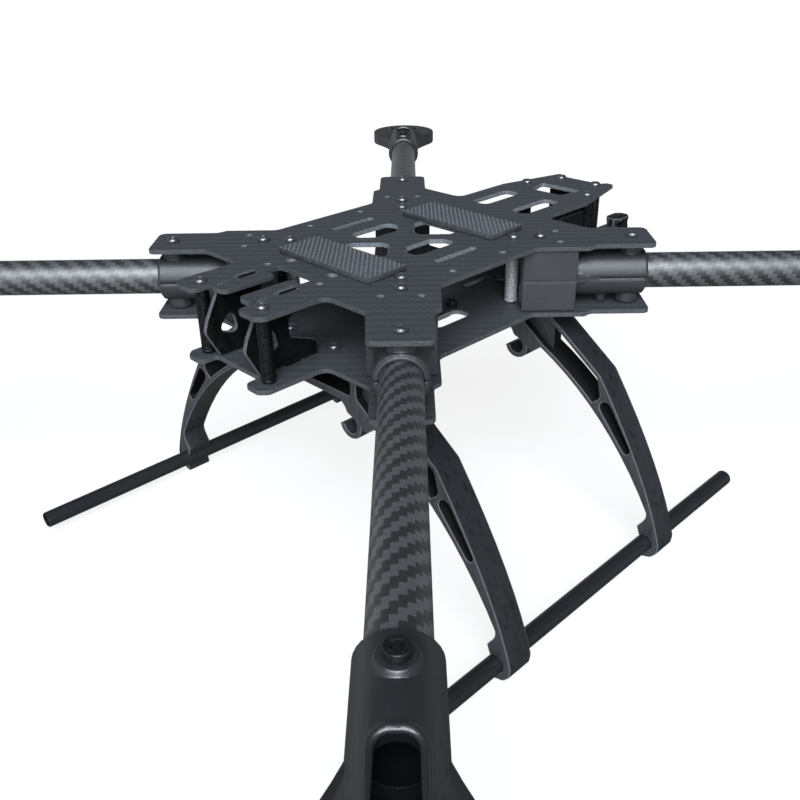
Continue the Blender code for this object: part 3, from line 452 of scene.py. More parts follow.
def skinned(shape, levels):
    """Close a stack of rings of points with side faces and two end caps."""
    for below, above in zip(levels, levels[1:]):
        for step in range(len(below)):
            after = (step + 1) % len(below)
            shape.faces.new((below[step], below[after], above[after], above[step]))
    shape.faces.new(reversed(levels[0]))
    shape.faces.new(levels[-1])


def rings_mesh(name, rings, sides=48):
    """A closed solid lofted through level rings (radius, height, kind), bottom to top.

    A ring's kind is round, or six for a hexagon whose corners lie on the radius.
    """
    shape = bmesh.new()
    levels = []
    for radius, height, kind in rings:
        level = []
        for turn in turns(sides):
            out = radius
            if kind == "six":
                out *= math.cos(math.pi / 6) / math.cos(turn % (math.pi / 3) - math.pi / 6)
            level.append(shape.verts.new((out * math.cos(turn), out * math.sin(turn), height)))
        levels.append(level)
    skinned(shape, levels)
    return to_mesh(name, shape, sharp=35)


def head_rings(radius, height, seat):
    """A button head with a hexagon socket, from its seat up."""
    socket = 0.42
    profile = [(0.955, 0.0), (1.0, 0.08), (1.0, 0.24), (0.965, 0.46), (0.88, 0.68), (0.74, 0.86),
               (0.60, 0.95), (socket + 0.07, 0.985), (socket + 0.045, 0.96)]
    rings = [(r * radius, seat + h * height, "round") for r, h in profile]
    for r, h in ((socket, 0.90), (socket - 0.015, 0.86), (socket - 0.02, 0.22)):
        rings.append((r * radius, seat + h * height, "six"))
    return rings


def cap_rings(radius, height, seat):
    """A socket cap head from its seat up: a straight wall, a flat ring and a deep hexagon."""
    socket = 0.50
    profile = [(0.95, 0.0), (1.0, 0.06), (1.0, 0.84), (0.95, 0.97), (0.91, 1.0), (socket + 0.13, 1.0),
               (socket + 0.08, 0.95)]
    rings = [(r * radius, seat + h * height, "round") for r, h in profile]
    return rings + [(r * radius, seat + h * height, "six") for r, h in ((socket + 0.03, 0.88), (socket, 0.15))]


def screw_rings(shank, bottom, seat, head):
    """A shank with an eased tip, and a head on it."""
    return [(0.8 * shank, bottom, "round"), (shank, bottom + 0.2 * shank, "round"), (shank, seat, "round")] + head


def joined(name, parts, sharp=35):
    """One mesh from several (mesh, matrix) pairs, which go."""
    shape = bmesh.new()
    for mesh, matrix in parts:
        start = len(shape.verts)
        shape.from_mesh(mesh)
        shape.verts.ensure_lookup_table()
        bmesh.ops.transform(shape, matrix=matrix, verts=shape.verts[start:])
    for mesh in {id(mesh): mesh for mesh, _ in parts}.values():
        bpy.data.meshes.remove(mesh)
    return to_mesh(name, shape, sharp)


def knurled(name, radius, low, high, depth):
    """A pillar with a diamond knurl of a given depth between two plain ends."""
    around = KNURL_STEPS * KNURL_TEETH
    pitch = 2 * math.pi * radius / KNURL_TEETH
    length = high - low - 2 * PILLAR_PLAIN
    rows = round(KNURL_STEPS * length / pitch)
    shape = bmesh.new()

    def ring(out, height):
        radii = out if isinstance(out, list) else [out] * around
        return [shape.verts.new((r * math.cos(t), r * math.sin(t), height)) for r, t in zip(radii, turns(around))]

    levels = [ring(PILLAR_TIP * radius, low), ring(radius, low + PILLAR_EASE),
              ring(radius, low + PILLAR_PLAIN - PILLAR_STEP)]
    for row in range(rows + 1):
        height = low + PILLAR_PLAIN + length * row / rows
        radii = []
        for step in range(around):
            across, up = step / KNURL_STEPS, row / KNURL_STEPS
            valley = max(abs((across + up) % 1 - 0.5), abs((across - up) % 1 - 0.5))
            radii.append(radius - depth * (2 * valley) ** 1.5)
        levels.append(ring(radii, height))
    levels += [ring(radius, high - PILLAR_PLAIN + PILLAR_STEP), ring(radius, high - PILLAR_EASE),
               ring(PILLAR_TIP * radius, high)]
    skinned(shape, levels)
    return to_mesh(name, shape, sharp=60)


def plain_pillar(name, radius, low, high):
    """A smooth pillar with turned necks at its ends."""
    neck, waist = 0.0012, 0.93
    profile = [(PILLAR_TIP, low), (1.0, low + PILLAR_EASE), (1.0, low + neck), (waist, low + neck + 0.0002),
               (waist, low + neck + 0.0006), (1.0, low + neck + 0.0009)]
    profile += [(r, low + high - z) for r, z in reversed(profile)]
    return rings_mesh(name, [(r * radius, z, "round") for r, z in profile])


def hollow_tube(name, outer, inner, start, end, sides=96):
    """A tube along X with eased rims, hollow right through; its UV map counts tows.

    The bore takes the second material.
    """
    rim = RIM_SHARE * (outer - inner)
    profile = [(outer - rim, start), (outer, start + rim), (outer, end - rim), (outer - rim, end),
               (inner + rim, end), (inner, end - rim), (inner, start + rim), (inner + rim, start)]
    shape = bmesh.new()
    uv = shape.loops.layers.uv.new("tows")
    columns = []
    for turn in turns(sides):
        columns.append([shape.verts.new((x, r * math.cos(turn), r * math.sin(turn))) for r, x in profile])
    for step in range(sides):
        here, after = columns[step], columns[(step + 1) % sides]
        for k in range(len(profile)):
            other = (k + 1) % len(profile)
            face = shape.faces.new((here[k], after[k], after[other], here[other]))
            face.material_index = int(k in BORE_STRIPS)
            counts = (step, step + 1, step + 1, step)
            for loop, count in zip(face.loops, counts):
                loop[uv].uv = (count * TOWS_AROUND / sides, loop.vert.co.x / TOW_LENGTH)
    return to_mesh(name, shape, sharp=40)


def bead(name, path, radius, sides=10):
    """A closed round bead along a loop of points."""
    shape = bmesh.new()
    rings = []
    for index, point in enumerate(path):
        along = (path[(index + 1) % len(path)] - path[index - 1]).normalized()
        side = along.cross(Vector((0, 0, 1))).normalized()
        up = side.cross(along)
        rings.append([shape.verts.new(point + radius * (math.cos(t) * side + math.sin(t) * up))
                      for t in turns(sides)])
    for ring, after in zip(rings, rings[1:] + rings[:1]):
        for step in range(sides):
            other = (step + 1) % sides
            shape.faces.new((ring[step], ring[other], after[other], after[step]))
    return to_mesh(name, shape)


def prism(name, first, last, start, end):
    """A bar along X between two (y, z) sections."""
    shape = bmesh.new()
    ends = [[shape.verts.new((x, *place)) for place in section] for x, section in ((start, first), (end, last))]
    for step in range(len(first)):
        after = (step + 1) % len(first)
        shape.faces.new((ends[0][step], ends[0][after], ends[1][after], ends[1][step]))
    shape.faces.new(ends[0])
    shape.faces.new(ends[1])
    return to_mesh(name, shape)


def trued(mesh, axis, centre, radius, slack, keep):
    """Bring a remeshed round back to its true radius about an axis, where keep allows it."""
    for vertex in mesh.vertices:
        arm = vertex.co - centre
        arm[axis] = 0
        if abs(arm.length - radius) < slack and keep(vertex.co):
            vertex.co += arm * (radius / arm.length - 1)
    return mesh


def levels_of(node, axis):
    """The levels of the node's flat faces that look along an axis, lowest first."""
    mesh = NODES[node].data
    return sorted({round(mesh.vertices[face.vertices[0]].co[axis], 5) for face in mesh.polygons
                   if face.normal[axis] > 0.999})


def welded_copy(node, matrix):
    """A node's own shape in another frame, its split corners joined again."""
    shape = bmesh.new()
    shape.from_mesh(NODES[node].data)
    bmesh.ops.remove_doubles(shape, verts=shape.verts, dist=WELD)
    bmesh.ops.transform(shape, matrix=matrix, verts=shape.verts)
    return to_mesh(node + "_soft", shape)


def softened(name, mesh, voxel, smooth):
    """A moulding: the shape remeshed, its edges rounded off, then thinned out."""
    item = scratch(name, mesh)
    remesh = item.modifiers.new("remesh", "REMESH")
    remesh.mode = "VOXEL"
    remesh.voxel_size = voxel
    soft = item.modifiers.new("soft", "SMOOTH")
    soft.factor = SMOOTH_FACTOR
    soft.iterations = smooth
    thin = item.modifiers.new("thin", "DECIMATE")
    thin.ratio = THINNING
    made = applied(item)
    made.materials.clear()
    made.shade_smooth()
    return made


# ---------------- sizes read from the solids

def heights(node):
    """The lowest and highest point of a node."""
    low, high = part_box(node)
    return low.z, high.z


def middle(node):
    """The middle of a node's box."""
    low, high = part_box(node)
    return (low + high) / 2


def upright_at(node):
    """The shift of an upright piece to a node's middle."""
    return Matrix.Translation((*middle(node).xy, 0))


def reach(node, heading):
    """The least and greatest distance of a node along a heading from the centre of the plates."""
    way = Vector((math.cos(math.radians(heading)), math.sin(math.radians(heading)), 0))
    values = [vertex.co.dot(way) for vertex in NODES[node].data.vertices]
    return min(values), max(values)


PLATE_HIGH = heights("top_plate")[1]
BELLY_LOW, BELLY_HIGH = heights("bottom_plate")
TUBE_Z = middle("arm_tube_front_right").z
PAD_TOP = heights("grip_pad_front")[1]
ARM_FRAME = {arm: Matrix.Translation((0, 0, TUBE_Z)) @ Matrix.Rotation(math.radians(heading), 4, "Z")
             for arm, heading in ARMS.items()}

SHEET_FACE = carbon_face("sheet_face", 0.0020, (0.0460, 0.0500, 0.0557), (0.0600, 0.0650, 0.0725))
SHEET_EDGE = carbon_edge("sheet_edge", 2, (0.032, 0.0348, 0.039), (0.085, 0.0915, 0.101))
# Painted highlight: the walls of the plates' cut-outs take a paler copy of the cut-edge finish than the outer edges.
SHEET_WALL_PAINTED_HIGHLIGHT = carbon_edge("sheet_wall_painted_highlight", 2, (0.090, 0.0970, 0.107), (0.240, 0.256, 0.276))
CHEEK_FACE = black_sheet("cheek_face")
CHEEK_EDGE = carbon_edge("cheek_edge", 0, (0.045, 0.049, 0.054), (0.120, 0.129, 0.141))
WOVEN = woven_tube("woven_tube")
NYLON = moulding("holder_nylon", (0.0300, 0.0325, 0.0363), (0.0400, 0.0430, 0.0478), 0.43, 2000.0, 0.00012,
                 0.75)
MOUNT_NYLON = moulding("mount_nylon", (0.0130, 0.0142, 0.0160), (0.0185, 0.0201, 0.0225), 0.38, 2400.0, 0.00004,
                       1.0)
# Painted shade: a darker copy of the bracket's moulding for the faces of its block and the walls of its eyes.
BRACKET_PAINTED_SHADE = moulding("bracket_painted_shade", (0.0040, 0.0043, 0.0048), (0.0080, 0.0086, 0.0096), 0.45, 1800.0, 0.00004, 0.4)
# Lit and shaded copies of the one leg finish: the flat faces take the lighter copy as painted light, the walls the
# darker copy as painted shade.
LEG_FACE_PAINTED_LIGHT = leg_finish("leg_face_painted_light", (0.0200, 0.0216, 0.0240), (0.0430, 0.0468, 0.0524), 0.40)
LEG_WALL_PAINTED_SHADE = leg_finish("leg_wall_painted_shade", (0.0045, 0.0049, 0.0055), (0.0195, 0.0214, 0.0242), 0.38)
# Painted highlight: a pale copy of the moulding for bevelled edges, so they show as thin bright lines.
RIM_PAINTED_HIGHLIGHT = moulding("rim_painted_highlight", (0.075, 0.080, 0.087), (0.115, 0.122, 0.131), 0.40, 1500.0, 0.00003)
SKID = skid_finish("skid_finish")
# Near black: the dark resin inside the tubes, and painted shade on the walls of the mounts' wire windows and in the
# legs' cut-outs.
BORE_AND_PAINTED_SHADE = moulding("bore_and_painted_shade", (0.0035, 0.0037, 0.0041), (0.0065, 0.0069, 0.0076), 0.60, 900.0, 0.00005, 0.2)
CAP = metal("black_cap", (0.012, 0.0126, 0.0138), (0.034, 0.0356, 0.039), 0.34, 1400.0, 0.00002, 0.55)
SCREW = metal("black_screw", (0.13, 0.138, 0.150), (0.36, 0.375, 0.40), 0.36, 900.0, 0.00002)
BLACK_METAL = metal("anodised_pillar", (0.016, 0.017, 0.0187), (0.080, 0.084, 0.091), 0.28, 1200.0, 0.00003)
SILVER = metal("bright_pillar", (0.30, 0.31, 0.33), (0.92, 0.93, 0.95), 0.45, 1300.0, 0.00008, 0.40)
RUBBER = grip_rubber("grip_rubber")


# ---------------- plates

PLATE_BEVEL, CHEEK_BEVEL = 0.00022, 0.00025


def add_sheet(node, axis, bevel, finishes):
    """A plate that is flat across an axis."""
    low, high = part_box(node)
    loops = [eased(loop) for loop in loops_of(node, axis)]
    mesh = sheet_mesh(node + "_cut", loops, axis, low[axis], high[axis], bevel)
    add("sheet_" + node, mesh, "frame", finishes, (node,))


for node in ("top_plate", "bottom_plate"):
    add_sheet(node, 2, PLATE_BEVEL, (SHEET_FACE, SHEET_EDGE, SHEET_WALL_PAINTED_HIGHLIGHT))
for node in [f"{end}_cheek_{hand}" for end in ("nose", "tail") for hand in HANDS]:
    add_sheet(node, 0, CHEEK_BEVEL, (CHEEK_FACE, CHEEK_EDGE, CHEEK_EDGE))
add_sheet("tail_panel", 1, CHEEK_BEVEL, (CHEEK_FACE, CHEEK_EDGE, CHEEK_EDGE))


# ---------------- arms

# The moulded shapes are made in an arm's own frame: x runs out along the tube from the plates' centre, z is up
# from the tube's axis.
MOUNT_ARM = "rear_right"
MOUNT_NODE = "motor_mount_" + MOUNT_ARM
SCREW_RADIUS, CLAMP_HEAD = 0.0015, 0.002
clamp_low, clamp_high = heights("clamp_screw_" + MOUNT_ARM)
clamp_start, clamp_end = reach("clamp_screw_" + MOUNT_ARM, ARMS[MOUNT_ARM])
CLAMP_RADIUS, CLAMP_R = (clamp_end - clamp_start) / 2, (clamp_start + clamp_end) / 2
CLAMP = rings_mesh("clamp", screw_rings(SCREW_RADIUS, clamp_low, clamp_high - CLAMP_HEAD,
                                        cap_rings(CLAMP_RADIUS, CLAMP_HEAD, clamp_high - CLAMP_HEAD)))

WINDOW_START, WINDOW_END, WINDOW_HALF = 0.2725, 0.2875, 0.0046
WINDOW_WALL = 0.0009  # the window's walls take painted shade this far below the collar's skin
LIP_BACK, LIP_OUT, LIP_SINK, LIP_RADIUS, LIP_CORNER = 0.0013, 0.0006, 0.0006, 0.0011, 0.0040
FLARE_START, FLARE_END, FLARE_TOP = 0.2735, 0.2890, 0.0078
FLANGE_RADIUS, FLANGE_HALF, FLANGE_EDGE = 0.0225, 0.0040, 0.0006
SKIRT = ((0.0056, -0.0040), (0.0056, -0.0006), (0.0054, 0.0000), (0.0051, 0.0006), (0.0048, 0.0012))
ROOT_SLIM = ((0.0080, 0.0034), (0.0096, 0.0034), (0.0092, 0.0042))
ROOT_FULL = ((0.0080, 0.0034), (0.0146, 0.0036), (0.0082, 0.0074))
MOUNT_VOXEL, MOUNT_SMOOTH, COLLAR_SLACK, FLANGE_SLACK = 0.00034, 8, 0.00030, 0.0004
MOTOR_R = reach(MOUNT_NODE, ARMS[MOUNT_ARM])[1] - FLANGE_RADIUS


def collar_radius():
    """The true radius of the motor mount's collar, from the ring at its inner end."""
    inward = ARM_FRAME[MOUNT_ARM].inverted()
    places = [inward @ vertex.co for vertex in NODES[MOUNT_NODE].data.vertices]
    start = min(place.x for place in places)
    return max(math.hypot(place.y, place.z) for place in places if place.x < start + 0.002)


def window_lip(collar):
    """The rounded rim of the wire window, laid on the collar."""
    corners = []
    half = WINDOW_HALF + LIP_OUT
    for side, first in ((1, 90), (-1, 180)):
        for further in range(0, 91, 15):
            turn = math.radians(first + further)
            corners.append((WINDOW_START - LIP_BACK + LIP_CORNER * (1 + math.cos(turn)),
                            side * (half - LIP_CORNER) + LIP_CORNER * math.sin(turn)))
    corners += [(WINDOW_END, -half), (WINDOW_END, half)]
    return bead("lip", [Vector((x, y, math.sqrt(collar ** 2 - y ** 2) - LIP_SINK)) for x, y in corners], LIP_RADIUS)


def beside_window(place):
    """Whether a place is at the wire window or its lip."""
    margin = 2 * LIP_RADIUS + LIP_BACK
    return place.x > WINDOW_START - margin and abs(place.y) < WINDOW_HALF + margin and place.z > 0


def motor_mount():
    """The motor mount in an arm's frame, with its screw skirt, window lip and root fillets."""
    collar = collar_radius()
    parts = [(welded_copy(MOUNT_NODE, ARM_FRAME[MOUNT_ARM].inverted()), STILL),
             (rings_mesh("skirt", [(r, collar + z, "round") for r, z in SKIRT]), Matrix.Translation((CLAMP_R, 0, 0))),
             (window_lip(collar), STILL)]
    for side in (1, -1):
        sections = [[(side * y, z) for y, z in section] for section in (ROOT_SLIM, ROOT_FULL)]
        parts.append((prism("root", *sections, FLARE_START, FLARE_END), STILL))
    mesh = softened("mount", joined("mount_rough", parts), MOUNT_VOXEL, MOUNT_SMOOTH)
    mesh = trued(mesh, 0, Vector(), collar, COLLAR_SLACK,
                 lambda place: not beside_window(place) and (place.x < FLARE_START or abs(place.z) > FLARE_TOP))
    mesh = trued(mesh, 2, Vector((MOTOR_R, 0, 0)), FLANGE_RADIUS, FLANGE_SLACK,
                 lambda place: abs(place.z) < FLANGE_HALF - FLANGE_EDGE)
    # Painted shade: the window's walls below the collar's skin take the near-black bore finish.
    for face in mesh.polygons:
        deep = math.hypot(face.center.y, face.center.z) < collar - WINDOW_WALL
        if deep and beside_window(face.center) and face.center.x < WINDOW_END:
            face.material_index = 1
    return mesh


BARREL_START, BARREL_RADIUS, BARREL_LEAD = 0.0790, 0.0105, 0.001
SLIT_START, SLIT_HALF = 0.0890, 0.0012
POST_R, POST_RADIUS, POST_TOP = 0.0924, 0.0026, -0.006
WEB_HALF, WEB_RISE, WEB_LAP = 0.0009, 0.0028, 0.002
HOLDER_VOXEL, HOLDER_SMOOTH, BARREL_SLACK = 0.0004, 7, 0.00055
FILL_SINK, FILL_RISE, FILL_BEVEL, FILL_INSET = 0.0010, 0.0002, 0.00005, 0.00006


def clipped(loop, limit):
    """The part of a closed outline with its first coordinate below a limit."""
    kept = []
    for here, after in zip(loop, loop[1:] + loop[:1]):
        if here.x <= limit:
            kept.append(here)
        if (here.x <= limit) != (after.x <= limit):
            kept.append(here.lerp(after, (limit - here.x) / (after.x - here.x)))
    return kept


def holder(half, arm):
    """One moulded half of an arm holder in the arm's frame, with what it carries between the plates."""
    node = f"arm_holder_{half}_{arm}"
    inward = ARM_FRAME[arm].inverted()
    parts = [(welded_copy(node, inward), STILL)]
    if half == "lower":
        foot = heights(node)[0] - TUBE_Z
        post = [(POST_RADIUS, foot, "round"), (POST_RADIUS, POST_TOP, "round")]
        parts.append((rings_mesh("post", post), Matrix.Translation((POST_R, 0, 0))))
        web = [(WEB_HALF, POST_TOP), (-WEB_HALF, POST_TOP), (-WEB_HALF, foot + WEB_RISE), (WEB_HALF, foot + WEB_RISE)]
        parts.append((prism("web", web, web, BARREL_START - WEB_LAP, POST_R), STILL))
    mesh = softened(f"holder_{half}_{arm}", joined("holder_rough", parts), HOLDER_VOXEL, HOLDER_SMOOTH)
    return trued(mesh, 0, Vector(), BARREL_RADIUS, BARREL_SLACK,
                 lambda place: place.x > BARREL_START + BARREL_LEAD and abs(place.z) > SLIT_HALF)


def parting_fill(arm):
    """Closes the parting line of the block down to a hairline; the barrel keeps its open slit."""
    node = "arm_holder_lower_" + arm
    inward = ARM_FRAME[arm].inverted()
    level = levels_of(node, 2)[-1]
    flat = [[(inward @ Vector((*point, level))).xy for point in loop] for loop in loops_of(node, 2, level)]
    kept = [loop for loop in (clipped(loop, SLIT_START) for loop in flat) if len(loop) > 2]
    return sheet_mesh("fill_" + arm, kept, 2, level - TUBE_Z - FILL_SINK, TUBE_Z - level + FILL_RISE, FILL_BEVEL,
                      -FILL_INSET)


# The left arms are the right ones turned half around.
HOLDER_OF = {"front_right": "front_right", "rear_right": "rear_right", "rear_left": "front_right",
             "front_left": "rear_right"}
RIGHT_ARMS = ("front_right", "rear_right")
HALVES = ("upper", "lower")
HOLDERS = {(half, arm): holder(half, arm) for half in HALVES for arm in RIGHT_ARMS}
FILLS = {arm: parting_fill(arm) for arm in RIGHT_ARMS}
MOUNT = motor_mount()
TUBE_WALL = 0.001
tube_start, tube_end = reach("arm_tube_" + MOUNT_ARM, ARMS[MOUNT_ARM])
tube_low, tube_high = heights("arm_tube_" + MOUNT_ARM)
TUBE_RADIUS = (tube_high - tube_low) / 2
TUBE = hollow_tube("tube", TUBE_RADIUS, TUBE_RADIUS - TUBE_WALL, tube_start, tube_end)

for arm in ARMS:
    body = "arm_" + arm
    for half in HALVES:
        add(f"moulded_holder_{half}_{arm}", HOLDERS[half, HOLDER_OF[arm]], body, (NYLON,),
            (f"arm_holder_{half}_{arm}",), ARM_FRAME[arm])
    add("parting_fill_" + arm, FILLS[HOLDER_OF[arm]], body, (NYLON,) * 3, (), ARM_FRAME[arm])
    add("woven_tube_" + arm, TUBE, body, (WOVEN, BORE_AND_PAINTED_SHADE), ("arm_tube_" + arm,), ARM_FRAME[arm])
    add("moulded_mount_" + arm, MOUNT, body, (MOUNT_NYLON, BORE_AND_PAINTED_SHADE), ("motor_mount_" + arm,),
        ARM_FRAME[arm])
    add("socket_clamp_" + arm, CLAMP, body, (CAP,), ("clamp_screw_" + arm,),
        upright_at("clamp_screw_" + arm))


# ---------------- screws and pillars

HEAD_RADIUS, HEAD_HEIGHT = 0.00285, 0.0017
pivot_low, pivot_high = heights("pivot_bolt_rear_right")
lock_low, lock_high = heights("lock_screw_rear_right")
NUT_HEIGHT, NUT_RADIUS = 0.0026, 0.0032
HEX_NUT = [(0.80 * NUT_RADIUS, pivot_low, "round"), (0.97 * NUT_RADIUS, pivot_low + 0.0004, "six"),
           (NUT_RADIUS, pivot_low + 0.0006, "six"), (NUT_RADIUS, pivot_low + NUT_HEIGHT - 0.0005, "six"),
           (0.86 * NUT_RADIUS, pivot_low + NUT_HEIGHT, "round")]
PIVOT = rings_mesh("pivot", HEX_NUT + [(SCREW_RADIUS, pivot_low + NUT_HEIGHT, "round"),
                                       (SCREW_RADIUS, pivot_high - HEAD_HEIGHT, "round")]
                   + head_rings(HEAD_RADIUS, HEAD_HEIGHT, pivot_high - HEAD_HEIGHT))
LOCK = rings_mesh("lock", screw_rings(SCREW_RADIUS, lock_low, lock_high - HEAD_HEIGHT,
                                      head_rings(HEAD_RADIUS, HEAD_HEIGHT, lock_high - HEAD_HEIGHT)))
pillar_low, pillar_high = heights("arm_pillar_rear_right")
pillar_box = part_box("arm_pillar_rear_right")
PILLAR_RADIUS = (pillar_box[1].x - pillar_box[0].x) / 2
ARM_POST = knurled("arm_post", PILLAR_RADIUS, pillar_low, pillar_high, depth=0.00022)
NOSE_POST = knurled("nose_post", PILLAR_RADIUS, pillar_low, pillar_high, depth=0.0003)
END_POST = plain_pillar("end_post", PILLAR_RADIUS, pillar_low, pillar_high)

for arm in ARMS:
    for node, mesh, name, slot, finish in (
            ("pivot_bolt_", PIVOT, "socket_pivot_", "black_screw", SCREW),
            ("lock_screw_", LOCK, "socket_lock_", "black_screw", SCREW),
            ("arm_pillar_", ARM_POST, "post_", "bright_pillar", SILVER)):
        add(name + arm, mesh, "frame", (finish,), (node + arm,), upright_at(node + arm))

POSTS = []
for hand in HANDS:
    for row, mesh in (("nose_pillar_", NOSE_POST), ("tail_pillar_side_", NOSE_POST), ("tail_pillar_end_", END_POST)):
        node = row + hand
        POSTS.append(middle(node).xy)
        add("post_" + node, mesh, "frame", (BLACK_METAL,), (node,), upright_at(node))
POSTS += [middle("arm_pillar_" + arm).xy for arm in ARMS]

FACE_DOWN = Matrix.Rotation(math.pi, 4, "X")
SHANK_DEPTH, SEAT = 0.0019, 0.00005  # from a plate's face down to a shank's tip, and up to a head's seat
LEG_SCREWS = [(x, y) for x in (-0.0145, 0.0145) for y in (-0.0553, 0.0553)]
BAY_SCREWS = [(x, 0.0124) for x in (-0.0199, 0.0199)]
BAY_CAP_RADIUS, BAY_CAP_HEIGHT = 0.0027, 0.0030


def row_of_screws(name, places, height, facing, head):
    """Screws of one kind in a plate, as one piece."""
    parts = []
    for x, y in places:
        mesh = rings_mesh("head", screw_rings(SCREW_RADIUS, -SHANK_DEPTH, SEAT, head))
        parts.append((mesh, Matrix.Translation((x, y, height)) @ facing))
    return joined(name, parts)


BUTTON = head_rings(HEAD_RADIUS, HEAD_HEIGHT, SEAT)
BAY_CAP = cap_rings(BAY_CAP_RADIUS, BAY_CAP_HEIGHT, SEAT)
for name, places, height, facing, head, finish in (
        ("heads_top", POSTS, PLATE_HIGH, STILL, BUTTON, SCREW),
        ("heads_belly", POSTS, BELLY_LOW, FACE_DOWN, BUTTON, SCREW),
        ("heads_legs", LEG_SCREWS, BELLY_HIGH, STILL, BUTTON, SCREW),
        ("caps_bay", BAY_SCREWS, BELLY_HIGH, STILL, BAY_CAP, CAP)):
    add(name, row_of_screws(name, places, height, facing, head), "frame", (finish,))


# ---------------- legs and skids

LEG_BEVEL, RECESS_BEVEL, RECESS_GROW = 0.00045, 0.0001, 0.0003  # of a leg's rims, and of what lies below them


def loop_gap(place, loop):
    """How far a place lies from a closed loop of straight edges."""
    gaps = []
    for start, stop in zip(loop, loop[1:] + loop[:1]):
        along = stop - start
        share = (place - start).dot(along) / along.length_squared
        gaps.append((place - start - along * min(1.0, max(0.0, share))).length)
    return min(gaps)


for hand in HANDS:
    for end in ("front", "rear"):
        node = f"leg_{end}_{hand}"
        low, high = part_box(node)
        parts = []
        for level in levels_of(node, 1):
            loops = [eased(loop) for loop in loops_of(node, 1, level)]
            bevel, grow = (LEG_BEVEL, 0.0) if level > high.y - 0.0001 else (RECESS_BEVEL, RECESS_GROW)
            parts.append((sheet_mesh(node + "_cut", loops, 1, low.y + high.y - level, level, bevel, grow), STILL))
        mesh = joined(node + "_moulded", parts, 30)
        *cuts, outline = sorted(loops_of(node, 1, high.y), key=box_area)
        for face in mesh.polygons:
            # Painted highlight: the bevels take the pale rim finish.
            if UPRIGHT < abs(face.normal.y) < FLAT:
                face.material_index = 3
            # Walls keep painted shade: the darker leg copy on the outer walls, the near-black bore finish in the
            # cut-outs.
            elif face.material_index:
                spot = Vector((face.center.z, face.center.x))
                in_cut = any(loop_gap(spot, cut) < loop_gap(spot, outline) for cut in cuts)
                face.material_index = 2 if in_cut else 1
        add("moulded_" + node, mesh, "frame", (LEG_FACE_PAINTED_LIGHT, LEG_WALL_PAINTED_SHADE, BORE_AND_PAINTED_SHADE, RIM_PAINTED_HIGHLIGHT), (node,))
    node = "skid_" + hand
    low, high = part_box(node)
    radius = (high.z - low.z) / 2
    along = Matrix.Translation(((low.x + high.x) / 2, 0, (low.z + high.z) / 2)) @ Matrix.Rotation(math.pi / 2, 4, "Z")
    add("drawn_" + node, hollow_tube(node + "_drawn", radius, radius - TUBE_WALL, low.y, high.y, sides=48), "frame",
        (SKID, BORE_AND_PAINTED_SHADE), (node,), along)


# ---------------- tail bracket and pads

def nipped(corners, cut):
    """A polygon with each corner cut off."""
    places = [Vector(corner) for corner in corners]
    made = []
    for before, here, after in zip(places[-1:] + places, places, places[1:] + places[:1]):
        made += [here + (before - here).normalized() * cut, here + (after - here).normalized() * cut]
    return made


def eyed_bracket():
    """The tail bracket: a flat tongue and an eight-sided block with two cross holes."""
    low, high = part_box("tail_bracket")
    length, half, corner, eye, spread = 0.0145, high.x, 0.0030, 0.0024, 0.0033
    ease, skin, drill = 0.0005, 0.0008, 0.02
    width, thick, lift, lap = 0.0042, 0.0030, 0.0003, 0.002
    start, centre = high.y - length, high.y - length / 2
    block = [(half - corner, start), (half, start + corner), (half, high.y - corner), (half - corner, high.y)]
    plan = block + [(-x, y) for x, y in reversed(block)]
    solid = scratch("block", sheet_mesh("block", [nipped(plan, ease)], 2, low.z, high.z, ease))
    cutters = []
    for side in (-1, 1):
        mesh = rings_mesh("eye", [(eye, -drill, "round"), (eye, drill, "round")], 32)
        cutters.append(scratch("eye", mesh))
        cutters[-1].matrix_world = (Matrix.Translation((0, centre + side * spread, (low.z + high.z) / 2))
                                    @ Matrix.Rotation(math.pi / 2, 4, "Y"))
        bore = solid.modifiers.new("eye", "BOOLEAN")
        bore.operation, bore.object = "DIFFERENCE", cutters[-1]
    drilled = applied(solid)
    for cutter in cutters:
        bpy.data.objects.remove(cutter, do_unlink=True)
    inside = (half - skin, centre - start - skin, (high.z - low.z) / 2 - skin)
    for face in drilled.polygons:
        place = face.center - Vector((0, centre, (low.z + high.z) / 2))
        leaning = UPRIGHT < abs(face.normal.z) < FLAT
        heading = abs(math.degrees(math.atan2(*face.normal.xy)))
        corner_cut = abs(face.normal.z) < UPRIGHT and abs(heading % 45 - 22.5) < 8
        in_eye = all(abs(a) < b for a, b in zip(place, inside))
        # Painted light on one moulding: bevels and cut corners take the pale rim finish, the other faces of the block
        # and its eyes the darker copy.
        face.material_index = 1 if (leaning or corner_cut) and not in_eye else 2
    strip = [(-width, low.y), (width, low.y), (width, start + lap), (-width, start + lap)]
    # Painted highlight: the tongue's edges take the pale rim finish.
    tongue = sheet_mesh("tongue", [nipped(strip, skin)], 2, low.z + lift, low.z + lift + thick, 0.0004)
    return joined("bracket", [(drilled, STILL), (tongue, STILL)], 30)


add("moulded_bracket", eyed_bracket(), "frame", (NYLON, RIM_PAINTED_HIGHLIGHT, BRACKET_PAINTED_SHADE), ("tail_bracket",))


